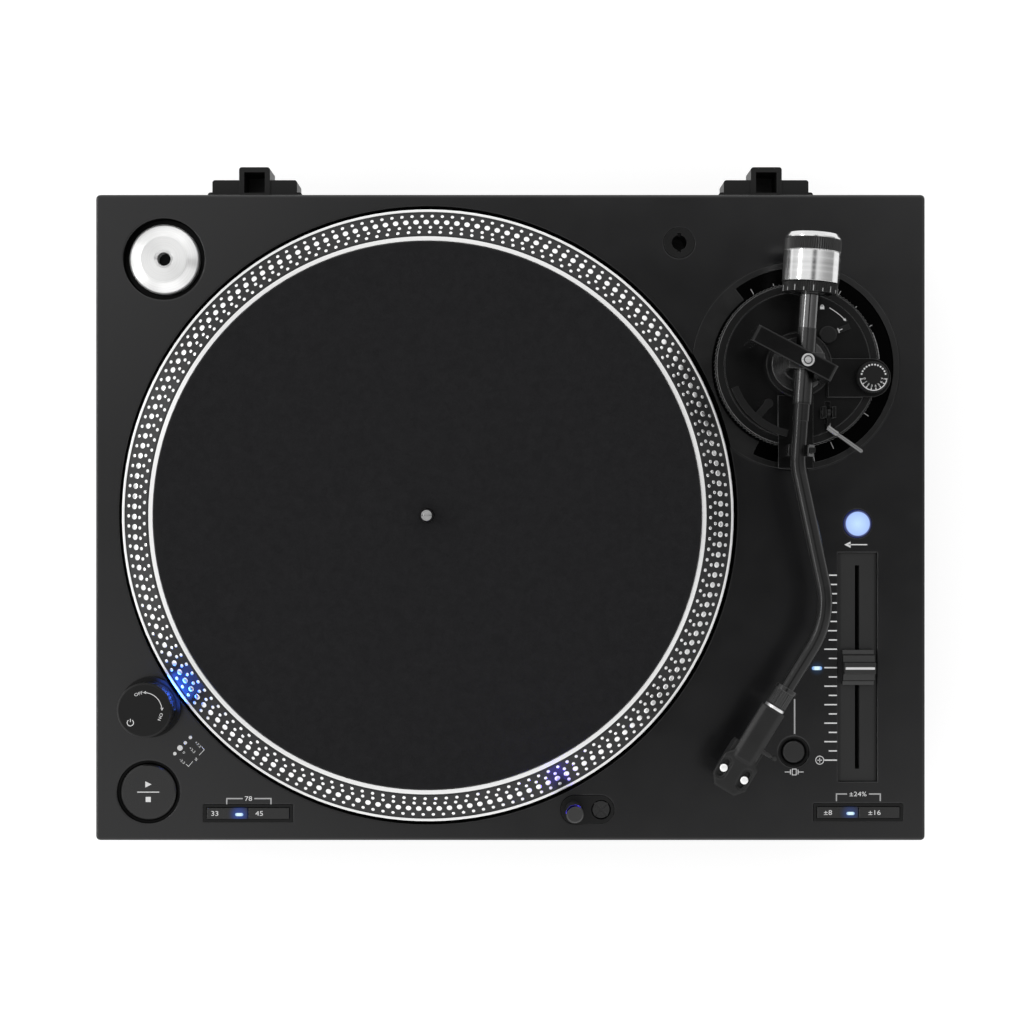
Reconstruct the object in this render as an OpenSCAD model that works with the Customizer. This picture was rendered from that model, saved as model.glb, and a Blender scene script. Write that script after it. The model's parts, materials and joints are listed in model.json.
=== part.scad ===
// Direct-drive turntable with a strobe platter, an S-shaped tonearm and a pitch slider.
// Millimetres. +X is right, -Y is the front, +Z is up, and the origin is on the table
// under the middle of the whole box. Plan positions count from the middle of the deck.

/* [Chassis] */
// Width of the deck
deck_w = 452; // [448:1:480]
// Depth of the deck
deck_d = 352; // [350:1:380]
// Height of the deck shell
deck_h = 44; // [42:1:60]
// Height of the base pan
pan_h = 20; // [18:1:30]
// Radius of the upright corners
corner_r = 3; // [2:0.5:8]
// Radius along the top edges
edge_r = 1.2; // [0.6:0.2:2.4]
// Wall of the deck shell
wall_t = 3.5; // [3:0.25:4]
// Thickness of the deck's top plate
top_t = 6; // [5.5:0.25:7]
// Wall and floor of the base pan
pan_t = 3; // [2:0.5:4]
// Step from the deck wall in to the pan wall
seam_step = 1; // [0.5:0.25:2]
// Distance of the closing screws from the side walls and the front and rear walls
screw_inset = 8.5; // [7.5:0.25:8.75]
// Front and rear offset of the side screws from the middle
side_screw_y = 120; // [112:1:124]
// Sideways place of the front and rear screws
end_screw_x = 95; // [90:1:100]
// Diameter of a closing screw
screw_d = 3.8; // [3:0.2:4.4]

/* [Feet] */
// Diameter of a foot
foot_d = 56; // [48:1:64]
// Height of a foot
foot_h = 30; // [24:1:40]
// Distance of a foot's centre from the side of the deck
foot_inset_x = 46; // [42:1:60]
// Distance of a foot's centre from the front or rear of the deck
foot_inset_y = 44; // [40:1:52]
// Diameter of the levelling stud
stud_d = 10; // [8:1:12]
// Length of the stud above the foot
stud_len = 17; // [15:1:20]

/* [Dust cover sockets] */
// Distance of each socket from the middle
hinge_x = 141; // [130:1:160]
// How far a socket reaches behind the deck
hinge_reach = 17; // [15:0.5:22]
// Width of the foot plate on the rear wall
hinge_plate_w = 52; // [50:0.5:60]
// Thickness of the foot plate
hinge_plate_t = 3.4; // [2.6:0.1:4]
// Width of the shoulders
hinge_flange_w = 46.7; // [40:0.5:48]
// Reach of the shoulders
hinge_flange_reach = 10; // [8:0.5:12]
// Radius of the upright corners of a socket
hinge_corner_r = 1.5; // [1:0.1:2]
// Width of the narrow socket
hinge_w = 17; // [15:0.5:22]
// Height of a socket
hinge_h = 26; // [22:1:30]
// Depth of the socket's top below the deck
hinge_drop = 13; // [10:0.5:15]
// Wall of a socket
hinge_t = 2.8; // [2:0.2:3.4]

/* [Platter] */
// Diameter of the platter
platter_d = 332; // [326:0.5:334]
// Distance of the spindle from the left side of the deck
spindle_inset = 181.2; // [179:0.2:184]
// Offset of the spindle from the middle of the depth
spindle_offset = 1.2; // [-2:0.2:4]
// Height of the platter's top ring above the deck
platter_rise = 12; // [11:0.5:16]
// Height of the platter's edge above the deck
edge_rise = 5.6; // [4.5:0.2:7]
// Width of the polished edge
edge_w = 2.2; // [1.5:0.1:3]
// Width of the sloping strobe band
band_w = 12.2; // [11.5:0.1:14]
// Width of the flat top ring
ring_w = 3.3; // [2.5:0.1:5]
// Depth of the mat's seat below the top ring
mat_seat = 1.8; // [1:0.2:2.4]
// Thickness of the platter's web
web_t = 5; // [4:0.5:6]
// Width of the heavy rim under the web
rim_w = 26; // [20:1:36]
// How far the rim hangs below the deck's top
rim_drop = 6; // [4:0.5:8]
// Gap between the platter and the wall of its well
well_gap = 2.5; // [2:0.25:3]
// Depth of the platter well
well_depth = 12; // [10.5:0.25:13]
// Diameter of the platter's hub
hub_d = 36; // [30:1:44]
// Thickness of the slipmat
mat_t = 3; // [2:0.25:4]
// Diameter of the record spindle
spindle_d = 7.2; // [7:0.05:7.3]
// Height of the spindle above the slipmat
spindle_rise = 13.8; // [10:0.2:18]
// Diameter of the spindle where the platter sits on it
seat_d = 10; // [9:0.5:12]
// Diameter of the shaft in its bearing
shaft_d = 8; // [7:0.5:8.5]
// Length of the shaft below the platter's hub
shaft_len = 34; // [28:1:36]

/* [Motor] */
// Outer diameter of the rotor cup
rotor_d = 72; // [64:1:76]
// Height of the rotor cup
rotor_h = 8.2; // [7.6:0.2:8.4]
// Thickness of the rotor's steel
rotor_t = 2; // [1.5:0.25:2.25]
// Width of the magnet ring
magnet_w = 5; // [4:0.5:7]
// Clearance round the rotor in the floor of the well
motor_gap = 4; // [3:0.5:6]
// Width of the stator's mounting flange
stator_flange = 12; // [9:0.5:14]
// Thickness of the stator plate
stator_t = 2; // [1.5:0.25:2.5]
// Number of stator coils
coil_count = 9; // [6:1:12]
// Diameter of the bearing barrel
bearing_d = 17; // [15:0.5:20]
// Diameter of the bearing's flange
bearing_flange_d = 40; // [34:1:46]

/* [Left controls] */
// Diameter of the start and stop button
start_d = 30.2; // [26:0.2:31]
// Width of the moat round that button
start_moat = 2.1; // [1.5:0.1:2.4]
// Distance of that button from the left side
start_inset_x = 28.7; // [28:0.1:29.5]
// Distance of that button from the front
start_inset_y = 26.4; // [25.5:0.1:27.5]
// Diameter of the power knob
power_d = 29.4; // [26:0.2:30]
// Distance of the power knob from the left side
power_inset_x = 30; // [29:0.1:30.4]
// Distance of the power knob from the front
power_inset_y = 72.8; // [71:0.1:74]
// Height of the fixed strobe tower
tower_h = 13; // [11:0.5:16]
// Height of the power knob
power_h = 9; // [7:0.5:12]
// Diameter of the tower's foot
tower_foot_d = 33; // [31:0.5:34]
// Half angle of the strobe window
window_angle = 38; // [25:1:50]
// Height of the strobe window
window_h = 6.5; // [5:0.5:7.5]
// Distance of the speed buttons from the left side
speed_inset_x = 83; // [82:0.2:84]
// Distance of the speed buttons from the front
speed_inset_y = 14.8; // [14.4:0.1:15]
// Width of a pair of flat buttons with their frame
pair_w = 48.8; // [46:0.2:49]
// Depth of a pair of flat buttons with their frame
pair_d = 9.6; // [9:0.1:10]
// Wall of the frame round a pair
pair_t = 1.5; // [1:0.1:1.6]
// Diameter of the 45 adaptor
adaptor_d = 38.2; // [38:0.05:38.3]
// Width of the moat round the adaptor
adaptor_moat = 3.2; // [2.5:0.1:4]
// Diameter of the adaptor's flat top
adaptor_top_d = 24.6; // [20:0.2:30]
// Depth of the adaptor's recess
adaptor_sink = 8; // [7:0.5:9]
// Height of the adaptor
adaptor_h = 9.5; // [8:0.5:12]
// Distance of the adaptor from the left side
adaptor_inset_x = 37.1; // [33:0.1:40]
// Distance of the adaptor from the rear
adaptor_inset_y = 35.1; // [33:0.1:38]

/* [Right controls] */
// Width of the pitch panel
pitch_w = 21.3; // [19:0.1:23]
// Length of the pitch panel
pitch_len = 124.8; // [120:0.2:128]
// Depth of the pitch panel below the deck
pitch_sink = 1.5; // [1:0.1:2]
// Thickness of the pitch panel
pitch_t = 2; // [1.5:0.1:2.4]
// Distance of the pitch panel from the right side
pitch_inset_x = 36.8; // [34:0.1:38]
// Distance of the pitch panel from the front
pitch_inset_y = 94.4; // [92:0.1:97]
// Travel of the pitch knob each way
pitch_travel = 50; // [45:1:52]
// Width of the pitch slot
slot_w = 2.4; // [2:0.1:3]
// Width of the pitch knob
knob_w = 17; // [15:0.2:18]
// Length of the pitch knob
knob_len = 19; // [16:0.2:21]
// Height of the pitch knob
knob_h = 11; // [9:0.5:14]
// Diameter of the reverse button
reverse_d = 15; // [12:0.2:18]
// Distance of the reverse button from the front
reverse_inset_y = 172.6; // [171:0.1:176]
// Diameter of the quartz button
quartz_d = 12; // [10:0.2:14]
// Width of the moat round the quartz button
quartz_moat = 2.5; // [1.5:0.1:3]
// Distance of the quartz button from the right side
quartz_inset_x = 71.5; // [70:0.1:74]
// Distance of the quartz button from the front
quartz_inset_y = 48.2; // [46:0.1:50]
// Distance of the range buttons from the right side
range_inset_x = 36.4; // [36.2:0.1:37]
// Distance of the range buttons from the front
range_inset_y = 15.3; // [14.6:0.1:16]
// Diameter of the headshell holder's bore
holder_bore_d = 8.2; // [8:0.1:8.6]
// Diameter of the headshell holder's rim
holder_d = 16.6; // [14:0.2:18]
// Distance of the headshell holder from the right side
holder_inset_x = 134; // [132:0.2:138]
// Distance of the headshell holder from the rear
holder_inset_y = 26.2; // [25:0.2:27]

/* [Target lamp] */
// Length of the lamp's bezel
bezel_w = 28.9; // [28:0.1:31]
// Width of the lamp's bezel
bezel_d = 15.3; // [14.6:0.1:16]
// Distance of the bezel to the right of the spindle
lamp_offset_x = 86.8; // [85:0.1:90]
// Distance of the bezel from the front
lamp_inset_y = 16.8; // [16:0.1:17]
// Half the distance from lamp to button
lamp_pitch = 7.4; // [7.2:0.1:7.8]
// Diameter of the lamp
lamp_d = 9.4; // [9:0.1:10]
// Height of the raised lamp above the deck
lamp_rise = 20; // [16:0.5:22]
// Diameter of the lamp's push button
push_d = 10.2; // [9:0.1:10.6]

/* [Tonearm base] */
// Distance from the spindle to the arm's pivot
pivot_reach = 216.1; // [215.6:0.1:217]
// Direction of the pivot from the spindle
pivot_angle = 22.1; // [21:0.1:23]
// Diameter of the base plate
base_d = 113; // [111:0.2:115]
// Width of the base plate's lip
base_lip_w = 3.2; // [2.5:0.1:4]
// Depth of the pocket that takes the base plate
base_sink = 4; // [3.5:0.1:4.5]
// Height of the lip above the deck
base_proud = 0.5; // [0.3:0.1:1]
// Depth of the moat below the deck
moat_sink = 1.2; // [0.8:0.1:2]
// Diameter of the platform's guide in the barrel
guide_d = 72.6; // [70:0.2:74]
// Wall of the base's barrel
barrel_t = 4.9; // [4:0.1:5.2]
// Depth of the barrel below the deck
barrel_len = 24; // [20:1:28]
// Width of the platform's rim round its guide
platform_rim_w = 3; // [2.6:0.1:3.4]
// Width of the height ring
height_ring_w = 5.1; // [4.6:0.1:5.6]
// Height of the ring's top above the deck
height_ring_rise = 7.6; // [6:0.2:9]
// Number of knurls on the height ring
height_ring_teeth = 130; // [90:1:150]
// Height travel of the arm
height_travel = 6; // [4:0.5:8]
// Diameter of the pivot housing
housing_d = 35.2; // [33:0.2:38]
// Height of the pivot housing above the platform
housing_h = 6.8; // [5:0.2:8]
// Direction of the bridge over the arm
bridge_angle = -27.8; // [-30:0.2:-20]
// Width of the bridge
bridge_w = 9.1; // [8:0.1:10]
// Reach of the bridge to the left of the pivot
bridge_left = 31; // [29:0.2:32]
// Reach of the bridge to the right of the pivot
bridge_right = 15.8; // [15.6:0.1:16.6]
// Thickness of the bridge's legs
bridge_leg_t = 4; // [3:0.1:4.2]
// Thickness of the bridge's bar
bridge_t = 3.5; // [3:0.1:5]
// Height of the bridge's top above the arm's axis
bridge_rise = 12.2; // [11.8:0.1:14]

/* [Tonearm] */
// Height of the arm's axis above the deck
arm_rise = 38; // [37:0.5:40]
// Heading of the parked arm, from straight ahead
arm_park = -4; // [-6:0.2:-2]
// Diameter of the tube
tube_d = 8.2; // [7.4:0.1:8.6]
// Diameter of the pivot sleeve
sleeve_d = 10.5; // [9.8:0.1:10.8]
// Length of the sleeve in front of the pivot
sleeve_front = 22.6; // [20:0.2:24]
// Length of the sleeve behind the pivot
sleeve_rear = 17.5; // [14:0.2:20]
// Length of the narrow neck in front of the sleeve
neck_len = 9; // [7:0.5:12]
// Diameter of the narrow neck
neck_d = 9; // [8.7:0.1:9.6]
// Straight run from the pivot to the first bend
run_a = 50; // [49:0.5:54]
// Radius of the first bend
bend_a_r = 35; // [30:1:45]
// Turn of the first bend
bend_a = 16; // [15:0.5:17]
// Straight run between the bends
run_b = 59; // [56:0.5:61]
// Radius of the second bend
bend_b_r = 46; // [42:1:50]
// Turn of the second bend
bend_b = 43.6; // [42:0.2:45]
// Straight run to the headshell's socket
run_c = 25; // [23:0.5:27]
// Length of the headshell's socket
socket_len = 11; // [10:0.5:14]
// Diameter of the headshell's plug
plug_d = 8; // [7.6:0.1:8.2]
// Diameter of the socket
socket_d = 9.4; // [9.2:0.1:9.8]
// Wall of the collar's sleeve
collar_t = 0.7; // [0.6:0.05:0.9]
// Diameter of the collar's flange
collar_d = 12.7; // [12.2:0.1:14]
// Length of the collar's flange
collar_flange = 2.2; // [1.5:0.1:3]
// Diameter of the trunnion pins
trunnion_d = 2; // [1.6:0.1:2.4]
// Inside half width of the gimbal
gimbal_half = 6.6; // [6.2:0.1:6.8]
// Thickness of the gimbal's cheeks
gimbal_t = 2.4; // [2:0.1:2.6]
// Length of the gimbal along the arm
gimbal_len = 9; // [7:0.2:9.4]
// Diameter of the upright pivot shaft
yaw_shaft_d = 8; // [6:0.2:10]

/* [Counterweight] */
// Diameter of the counterweight
weight_d = 30; // [27:0.5:32]
// Diameter of the rear stub
stub_d = 10; // [8.6:0.1:10]
// Distance of the tracking force dial behind the pivot
dial_start = 36; // [33:0.5:40]
// Width of the tracking force dial
dial_w = 5; // [4:0.2:7]
// Length of the plain drum
drum_len = 17; // [14:0.5:20]
// Length of the knurled grip
grip_len = 6; // [4:0.5:9]
// Length of the rear rim
rear_rim_len = 3.3; // [2:0.1:5]
// Number of knurls on the grip
grip_teeth = 72; // [48:1:90]

/* [Headshell] */
// Length of the headshell behind its seal ring
shell_len = 50; // [46:0.5:52]
// Width of the headshell's neck
shell_w = 13.6; // [12:0.2:16]
// Width of the slopes along the neck
shell_slope = 2.8; // [2:0.1:3.4]
// Width of the plate at the front
shell_front_w = 19.8; // [19:0.1:21]
// Length of the wide front part
shell_front_len = 21.5; // [18:0.5:24]
// Length of the slanted front corners
shell_corner = 5; // [4:0.2:6]
// Thickness of the neck
shell_t = 4; // [3:0.2:5]
// Thickness of the front plate
shell_front_t = 3.2; // [2.6:0.1:3.6]
// Spacing of the cartridge screws
cart_screw_gap = 12.7; // [12.7:0.1:12.8]
// Length of the oval recess round a screw slot
shell_slot_len = 12.2; // [10:0.2:13]
// Width of that recess
shell_slot_w = 5.4; // [4.6:0.1:5.6]
// Depth of that recess
shell_slot_sink = 1.2; // [0.8:0.1:1.6]
// Width of the slot through its floor
cart_slot_w = 2.9; // [2.6:0.1:3.2]
// Width of the cartridge
cart_w = 16.6; // [15:0.2:17.6]
// Length of the cartridge
cart_len = 23; // [20:0.5:26]
// Height of the cartridge
cart_h = 13.5; // [12:0.5:15]
// Thickness of the record that the stylus plays
record_t = 2; // [1.5:0.1:3]

/* [Cueing and dials] */
// Travel of the cueing lift
lift_travel = 2; // [1.5:0.1:3]
// Middle radius of the cueing lift
lift_r = 38.7; // [37.8:0.1:39.4]
// Width of the cueing lift
lift_w = 3.6; // [3:0.1:4]
// Height of the lift below the arm tube at rest
lift_gap = 0.5; // [0.3:0.1:1]
// Length of the cueing lever's handle
cue_len = 23; // [20:0.5:28]
// Diameter of the cueing lever's handle
cue_d = 2.4; // [2:0.1:2.8]
// Diameter of the anti-skate dial
skate_d = 17.2; // [15:0.2:19]
// Height of the anti-skate dial
skate_h = 7; // [5:0.5:9]
// Distance of the arm rest in front of the pivot
rest_run = 47; // [46:0.2:48]
// Reach of the arm rest to the left of the arm
rest_left = 4.8; // [4.4:0.1:6]
// Reach of the arm rest to the right of the arm
rest_right = 7.2; // [7:0.1:8]
// Thickness of the arm rest along the arm
rest_t = 6; // [4:0.5:8]

/* [Fits] */
// Radial clearance of turning and sliding shafts
run_gap = 0.06; // [0.02:0.01:0.1]
// Clearance of parts that pass each other freely
free_gap = 0.3; // [0.25:0.05:0.5]
// Clearance of fixed inserts
set_gap = 0.1; // [0.05:0.05:0.2]

/* [Hidden] */
$fn = 64;
eps = 0.02;

// Colours
black_paint = "#1c1c1e";
black_plastic = "#161617";
black_rubber = "#101010";
bright_metal = "#d8d9dc";
plain_steel = "#9a9da2";
dark_chrome = "#3a3b3f";
copper_wire = "#b06a34";
board_green = "#1f5a34";
lit_blue = "#4f86ff";
felt_black = "#141415";

// Heights above the table, and the shift that centres the box on the sockets
deck_top = foot_h + pan_h + deck_h;
deck_y = -hinge_reach / 2;

// Edges of the deck
left_x = -deck_w / 2;
right_x = deck_w / 2;
front_y = -deck_d / 2;
rear_y = deck_d / 2;

// Places on the deck
spindle_at = [left_x + spindle_inset, spindle_offset];
pivot_at = spindle_at + pivot_reach * [cos(pivot_angle), sin(pivot_angle)];
start_at = [left_x + start_inset_x, front_y + start_inset_y];
power_at = [left_x + power_inset_x, front_y + power_inset_y];
speed_at = [left_x + speed_inset_x, front_y + speed_inset_y];
adaptor_at = [left_x + adaptor_inset_x, rear_y - adaptor_inset_y];
pitch_at = [right_x - pitch_inset_x, front_y + pitch_inset_y];
reverse_at = [right_x - pitch_inset_x, front_y + reverse_inset_y];
quartz_at = [right_x - quartz_inset_x, front_y + quartz_inset_y];
range_at = [right_x - range_inset_x, front_y + range_inset_y];
holder_at = [right_x - holder_inset_x, rear_y - holder_inset_y];
bezel_at = [spindle_at[0] + lamp_offset_x, front_y + lamp_inset_y];
lamp_at = bezel_at - [lamp_pitch, 0];
push_at = bezel_at + [lamp_pitch, 0];

// Platter levels, from the deck's top
well_r = platter_d / 2 + well_gap;
cup_r = well_r + wall_t;
well_floor = well_depth + wall_t;
mat_r = platter_d / 2 - edge_w - band_w - ring_w;
mat_floor = platter_rise - mat_seat;
mat_top = mat_floor + mat_t;
hub_bottom = mat_floor - web_t - 9;
rotor_top = hub_bottom - 3;
shaft_bottom = hub_bottom - shaft_len;
stator_top = -well_floor;
spindle_relief = 0.2;

// Boards and buttons
board_t = 1.6;
board_drop = well_floor + 1.5;
switch_h = 4.6;
flange_t = 1.5;
frame_flange = 2;
frame_lip = 1.2;
button_proud = 0.8;
button_w = (pair_w - 2 * set_gap - 2 * pair_t - 3 * free_gap) / 2;
button_d = pair_d - 2 * set_gap - 2 * pair_t - 2 * free_gap;
button_shift = (button_w + free_gap) / 2;

// Round fits of the tonearm base, and levels from the deck's top
barrel_d = guide_d + 2 * barrel_t;
platform_d = guide_d + 2 * platform_rim_w;
height_ring_bore = platform_d + 2 * free_gap;
height_ring_d = height_ring_bore + 2 * height_ring_w;
moat_floor = -moat_sink;
platform_top = height_ring_rise + 0.6;
platform_under = 1.5;
overhang = height_ring_rise + free_gap;
housing_top = platform_top + housing_h;
skate_top = platform_top + 4.8;
rest_foot_top = platform_top + 2.8;
bridge_top = arm_rise + bridge_rise;
gimbal_top = bridge_top - bridge_t - 0.5;
cue_axis = platform_top + 4.2;
lift_top = arm_rise - tube_d / 2 - lift_gap;
stylus_drop = arm_rise - mat_top - record_t;

// Places on the tonearm platform, from the pivot
skate_at = [39.2, -7.1];
lock_at = [16.1, 16.2];
lock_lever = [12.6, 22];
cue_at = [16.2, -25.7];
cue_bend = 8.4;
cue_heading = -35.7;
cue_root = 6.4;
lift_heading = [arm_park - 8.5, arm_park - 66];
lift_post_heading = arm_park - 36;
lift_post_r = lift_r - 10.2;
rest_foot = [[-10.7, -55.9], [8.1, -16.6]];
skate_block = [16, 10.4];

// How far the runs of the tube lap its bends, and how thick the lap is
tube_lap = 0.8;
tube_lap_t = 0.03;

// The arm's route from its pivot: a run is [length, 0] and a bend is [radius, turn]
arm_route = [[run_a, 0], [bend_a_r, bend_a], [run_b, 0], [bend_b_r, -bend_b], [run_c, 0]];

// Moves from the middle of the deck's top
module at(place, z = 0) {
    translate([place[0], place[1] + deck_y, deck_top + z]) children();
}

// Moves to the arm's pivot, turned to the parked heading, with -Y along the arm
module arm_frame() {
    at(pivot_at, arm_rise) rotate([0, 0, arm_park]) children();
}

// A frame whose +Z points forward along the arm, a run in front of its pivot
module along(run) {
    translate([0, -run, 0]) rotate([90, 0, 0]) children();
}

// Moves past one leg of a route
module after(leg) {
    side = sign(leg[1]);
    move = leg[1] == 0 ? [0, -leg[0], 0]
        : [side * leg[0] * (1 - cos(leg[1])), -leg[0] * sin(abs(leg[1])), 0];
    translate(move) rotate([0, 0, leg[1]]) children();
}

// One leg of a round tube: a run laps the bends at its ends as a snug sleeve
module tube_leg(leg, r) {
    if (leg[1] == 0) {
        along(-tube_lap) cylinder(r = r + tube_lap_t, h = leg[0] + 2 * tube_lap);
    } else {
        side = sign(leg[1]);
        turn = abs(leg[1]);
        translate([side * leg[0], 0, 0]) rotate([0, 0, side > 0 ? 180 : -turn])
            rotate_extrude(angle = turn) translate([leg[0], 0]) circle(r = r);
    }
}

// A round tube along a whole route
module tube(route, r, i = 0) {
    if (i < len(route)) {
        tube_leg(route[i], r);
        after(route[i]) tube(route, r, i + 1);
    }
}

// Moves to the end of a route
module route_end(route, i = 0) {
    if (i < len(route)) after(route[i]) route_end(route, i + 1) children();
    else children();
}

// The frame at the headshell's socket
module shell_frame() {
    arm_frame() route_end(arm_route) children();
}

// Flat shapes
module rounded(w, d, r) {
    square([w - 2 * r, d], center = true);
    square([w, d - 2 * r], center = true);
    for (x = [-1, 1], y = [-1, 1])
        translate([x * (w / 2 - r), y * (d / 2 - r)]) circle(r = r);
}

module pill(w, d) {
    square([w - d, d], center = true);
    for (x = [-1, 1]) translate([x * (w - d) / 2, 0]) circle(d = d);
}

module ring(d_out, d_in) {
    difference() {
        circle(d = d_out);
        circle(d = d_in);
    }
}

module knurl(d, depth, count) {
    polygon([for (i = [0:2 * count - 1])
        (d / 2 - (i % 2) * depth) * [cos(180 * i / count), sin(180 * i / count)]]);
}

// A sector of a circle between two angles
module sector(r, from, to) {
    steps = 12;
    polygon([[0, 0], for (i = [0:steps]) let(a = from + (to - from) * i / steps)
        r / cos((to - from) / 2 / steps) * [cos(a), sin(a)]]);
}

// A round-topped knob profile, turned about its axis
module turned(d, h, chamfer) {
    rotate_extrude() polygon([[0, 0], [d / 2, 0], [d / 2, h - chamfer],
        [d / 2 - chamfer, h], [0, h]]);
}

// A square prism with one rounded upper edge on each long side
module rounded_beam(w, h, r, length) {
    rotate([90, 0, 0]) linear_extrude(length, center = true) {
        translate([-w / 2, 0]) square([w, h - r]);
        translate([-w / 2 + r, 0]) square([w - 2 * r, h]);
        for (x = [-1, 1]) translate([x * (w / 2 - r), h - r]) circle(r = r);
    }
}

// Chassis
module deck_block() {
    translate([0, 0, -deck_h]) intersection() {
        linear_extrude(deck_h) rounded(deck_w, deck_d, corner_r);
        rounded_beam(deck_w, deck_h, edge_r, deck_d + 2);
        rotate([0, 0, 90]) rounded_beam(deck_d, deck_h, edge_r, deck_w + 2);
    }
}

module plan(place, z = 0) {
    translate([place[0], place[1], z]) children();
}

function screw_places() = concat(
    [for (x = [-1, 1], y = [-1, 1]) [x * (deck_w / 2 - screw_inset), y * side_screw_y]],
    [for (y = [-1, 1]) [end_screw_x, y * (deck_d / 2 - screw_inset)]]);

// Each small board: its place, its size and the places of its switches
function board_list() = [
    [start_at, [start_d + 13, 24], [0]],
    [speed_at, [pair_w + 15, 13], [-button_shift, button_shift]],
    [range_at, [pair_w + 15, 13], [-button_shift, button_shift]],
    [quartz_at, [quartz_d + 15, 13], [0]],
    [reverse_at, [reverse_d + 13, 13], [0]]
];
board_post_inset = 3;
board_post_d = 4;

// The hollow under the deck, round the platter's cup and the adaptor's cup
module deck_hollow() {
    difference() {
        translate([0, 0, -deck_h - 1]) linear_extrude(deck_h - top_t + 1)
            square([deck_w - 2 * wall_t, deck_d - 2 * wall_t], center = true);
        plan(spindle_at, -well_floor) cylinder(r = cup_r, h = well_floor);
        plan(adaptor_at, -adaptor_sink - wall_t)
            cylinder(d = adaptor_d + 2 * adaptor_moat + 2 * wall_t, h = adaptor_sink + wall_t);
    }
}

module deck_posts() {
    for (place = screw_places())
        plan(place, -deck_h) cylinder(d = screw_post_d, h = deck_h - top_t / 2);
    for (board = board_list(), side = [-1, 1])
        plan(board[0] + [side * (board[1][0] / 2 - board_post_inset), 0], -board_drop)
            cylinder(d = board_post_d, h = board_drop - top_t / 2);
}

// A round button's hole with the moat round it
module button_hole(place, d, moat) {
    plan(place, -top_t - eps) cylinder(d = d + 2 * free_gap, h = top_t + 1);
    plan(place, -1.6) cylinder(d = d + 2 * moat, h = 3);
}

module deck_cuts() {
    plan(spindle_at, -well_depth) cylinder(r = well_r, h = well_depth + 1);
    plan(spindle_at, -well_floor - 1) cylinder(d = rotor_d + 2 * motor_gap, h = well_floor);
    plan(adaptor_at, -adaptor_sink)
        cylinder(d = adaptor_d + 2 * adaptor_moat, h = adaptor_sink + 1);
    button_hole(start_at, start_d, start_moat);
    button_hole(quartz_at, quartz_d, quartz_moat);
    button_hole(reverse_at, reverse_d, free_gap);
    for (place = [speed_at, range_at])
        plan(place, -top_t - eps) linear_extrude(top_t + 1)
            square([pair_w, pair_d], center = true);
    plan(power_at, -top_t - eps) cylinder(d = switch_body_d + 2 * set_gap, h = top_t + 1);
    plan(pitch_at, -pitch_sink - pitch_t) linear_extrude(top_t)
        square([pitch_w, pitch_len], center = true);
    plan(pitch_at, -top_t - eps) linear_extrude(top_t)
        square([slot_w + 4, pitch_slot_len], center = true);
    plan(bezel_at, -bezel_sink) linear_extrude(top_t) pill(bezel_w, bezel_d);
    plan(lamp_at, -top_t - eps) cylinder(d = lamp_sleeve_d + 2 * set_gap, h = top_t);
    plan(push_at, -top_t - eps) cylinder(d = push_d + 2 * free_gap, h = top_t);
    plan(holder_at, -holder_len - set_gap)
        cylinder(d = holder_barrel_d + 2 * set_gap, h = holder_len + 1);
    plan(holder_at, -holder_sink) cylinder(d = holder_d + 2 * set_gap, h = top_t);
    plan(pivot_at, -base_sink) cylinder(d = base_d + 2 * set_gap, h = top_t);
    plan(pivot_at, -barrel_len - set_gap) cylinder(d = barrel_d + 2 * set_gap, h = barrel_len);
    for (place = screw_places())
        plan(place, -deck_h - 1) cylinder(d = screw_d + 2 * set_gap, h = screw_grip + 2);
    for (window = [[jack_x, jack_w, jack_h], [inlet_x, inlet_w, inlet_h]])
        translate([window[0], rear_y, -rear_window_drop])
            cube([window[1] + 2 * set_gap, 4 * wall_t, window[2] + 2 * set_gap], center = true);
}

module deck() {
    color(black_paint) translate([0, deck_y, deck_top]) difference() {
        union() {
            difference() {
                deck_block();
                deck_hollow();
            }
            deck_posts();
        }
        deck_cuts();
    }
}

// Base pan with its screw columns, foot bosses and board posts
screw_grip = 12;
screw_post_d = screw_d + 7;
screw_head_d = screw_d + 4;
screw_head_h = 2.6;
foot_boss_d = stud_d + 12;
main_board_inset = [154, 114];
main_board_at = [right_x - main_board_inset[0], front_y + main_board_inset[1]];
main_board_size = [112, 72];
main_board_lift = 6;
function main_board_posts() = [for (x = [-1, 1], y = [-1, 1])
    main_board_at + [x * (main_board_size[0] / 2 - 5), y * (main_board_size[1] / 2 - 5)]];

function foot_place(side, end) =
    [side * (deck_w / 2 - foot_inset_x), end * (deck_d / 2 - foot_inset_y)];

module base_pan() {
    color(black_plastic) translate([0, deck_y, foot_h]) difference() {
        union() {
            difference() {
                linear_extrude(pan_h)
                    rounded(deck_w - 2 * seam_step, deck_d - 2 * seam_step, corner_r);
                translate([0, 0, pan_t]) linear_extrude(pan_h) square(
                    [deck_w - 2 * seam_step - 2 * pan_t, deck_d - 2 * seam_step - 2 * pan_t],
                    center = true);
            }
            for (place = screw_places()) plan(place) cylinder(d = screw_post_d, h = pan_h);
            for (x = [-1, 1], y = [-1, 1])
                plan(foot_place(x, y)) cylinder(d = foot_boss_d, h = pan_h);
            for (place = main_board_posts())
                plan(place) cylinder(d = 6, h = pan_t + main_board_lift);
        }
        for (place = screw_places()) {
            plan(place, -1) cylinder(d = screw_d + 2 * set_gap, h = pan_h + 2);
            plan(place, -1) cylinder(d = screw_head_d + 2 * set_gap, h = screw_head_h + 1);
        }
        for (x = [-1, 1], y = [-1, 1])
            plan(foot_place(x, y), -1) cylinder(d = stud_d + 2 * run_gap, h = pan_h + 2);
    }
}

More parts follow.
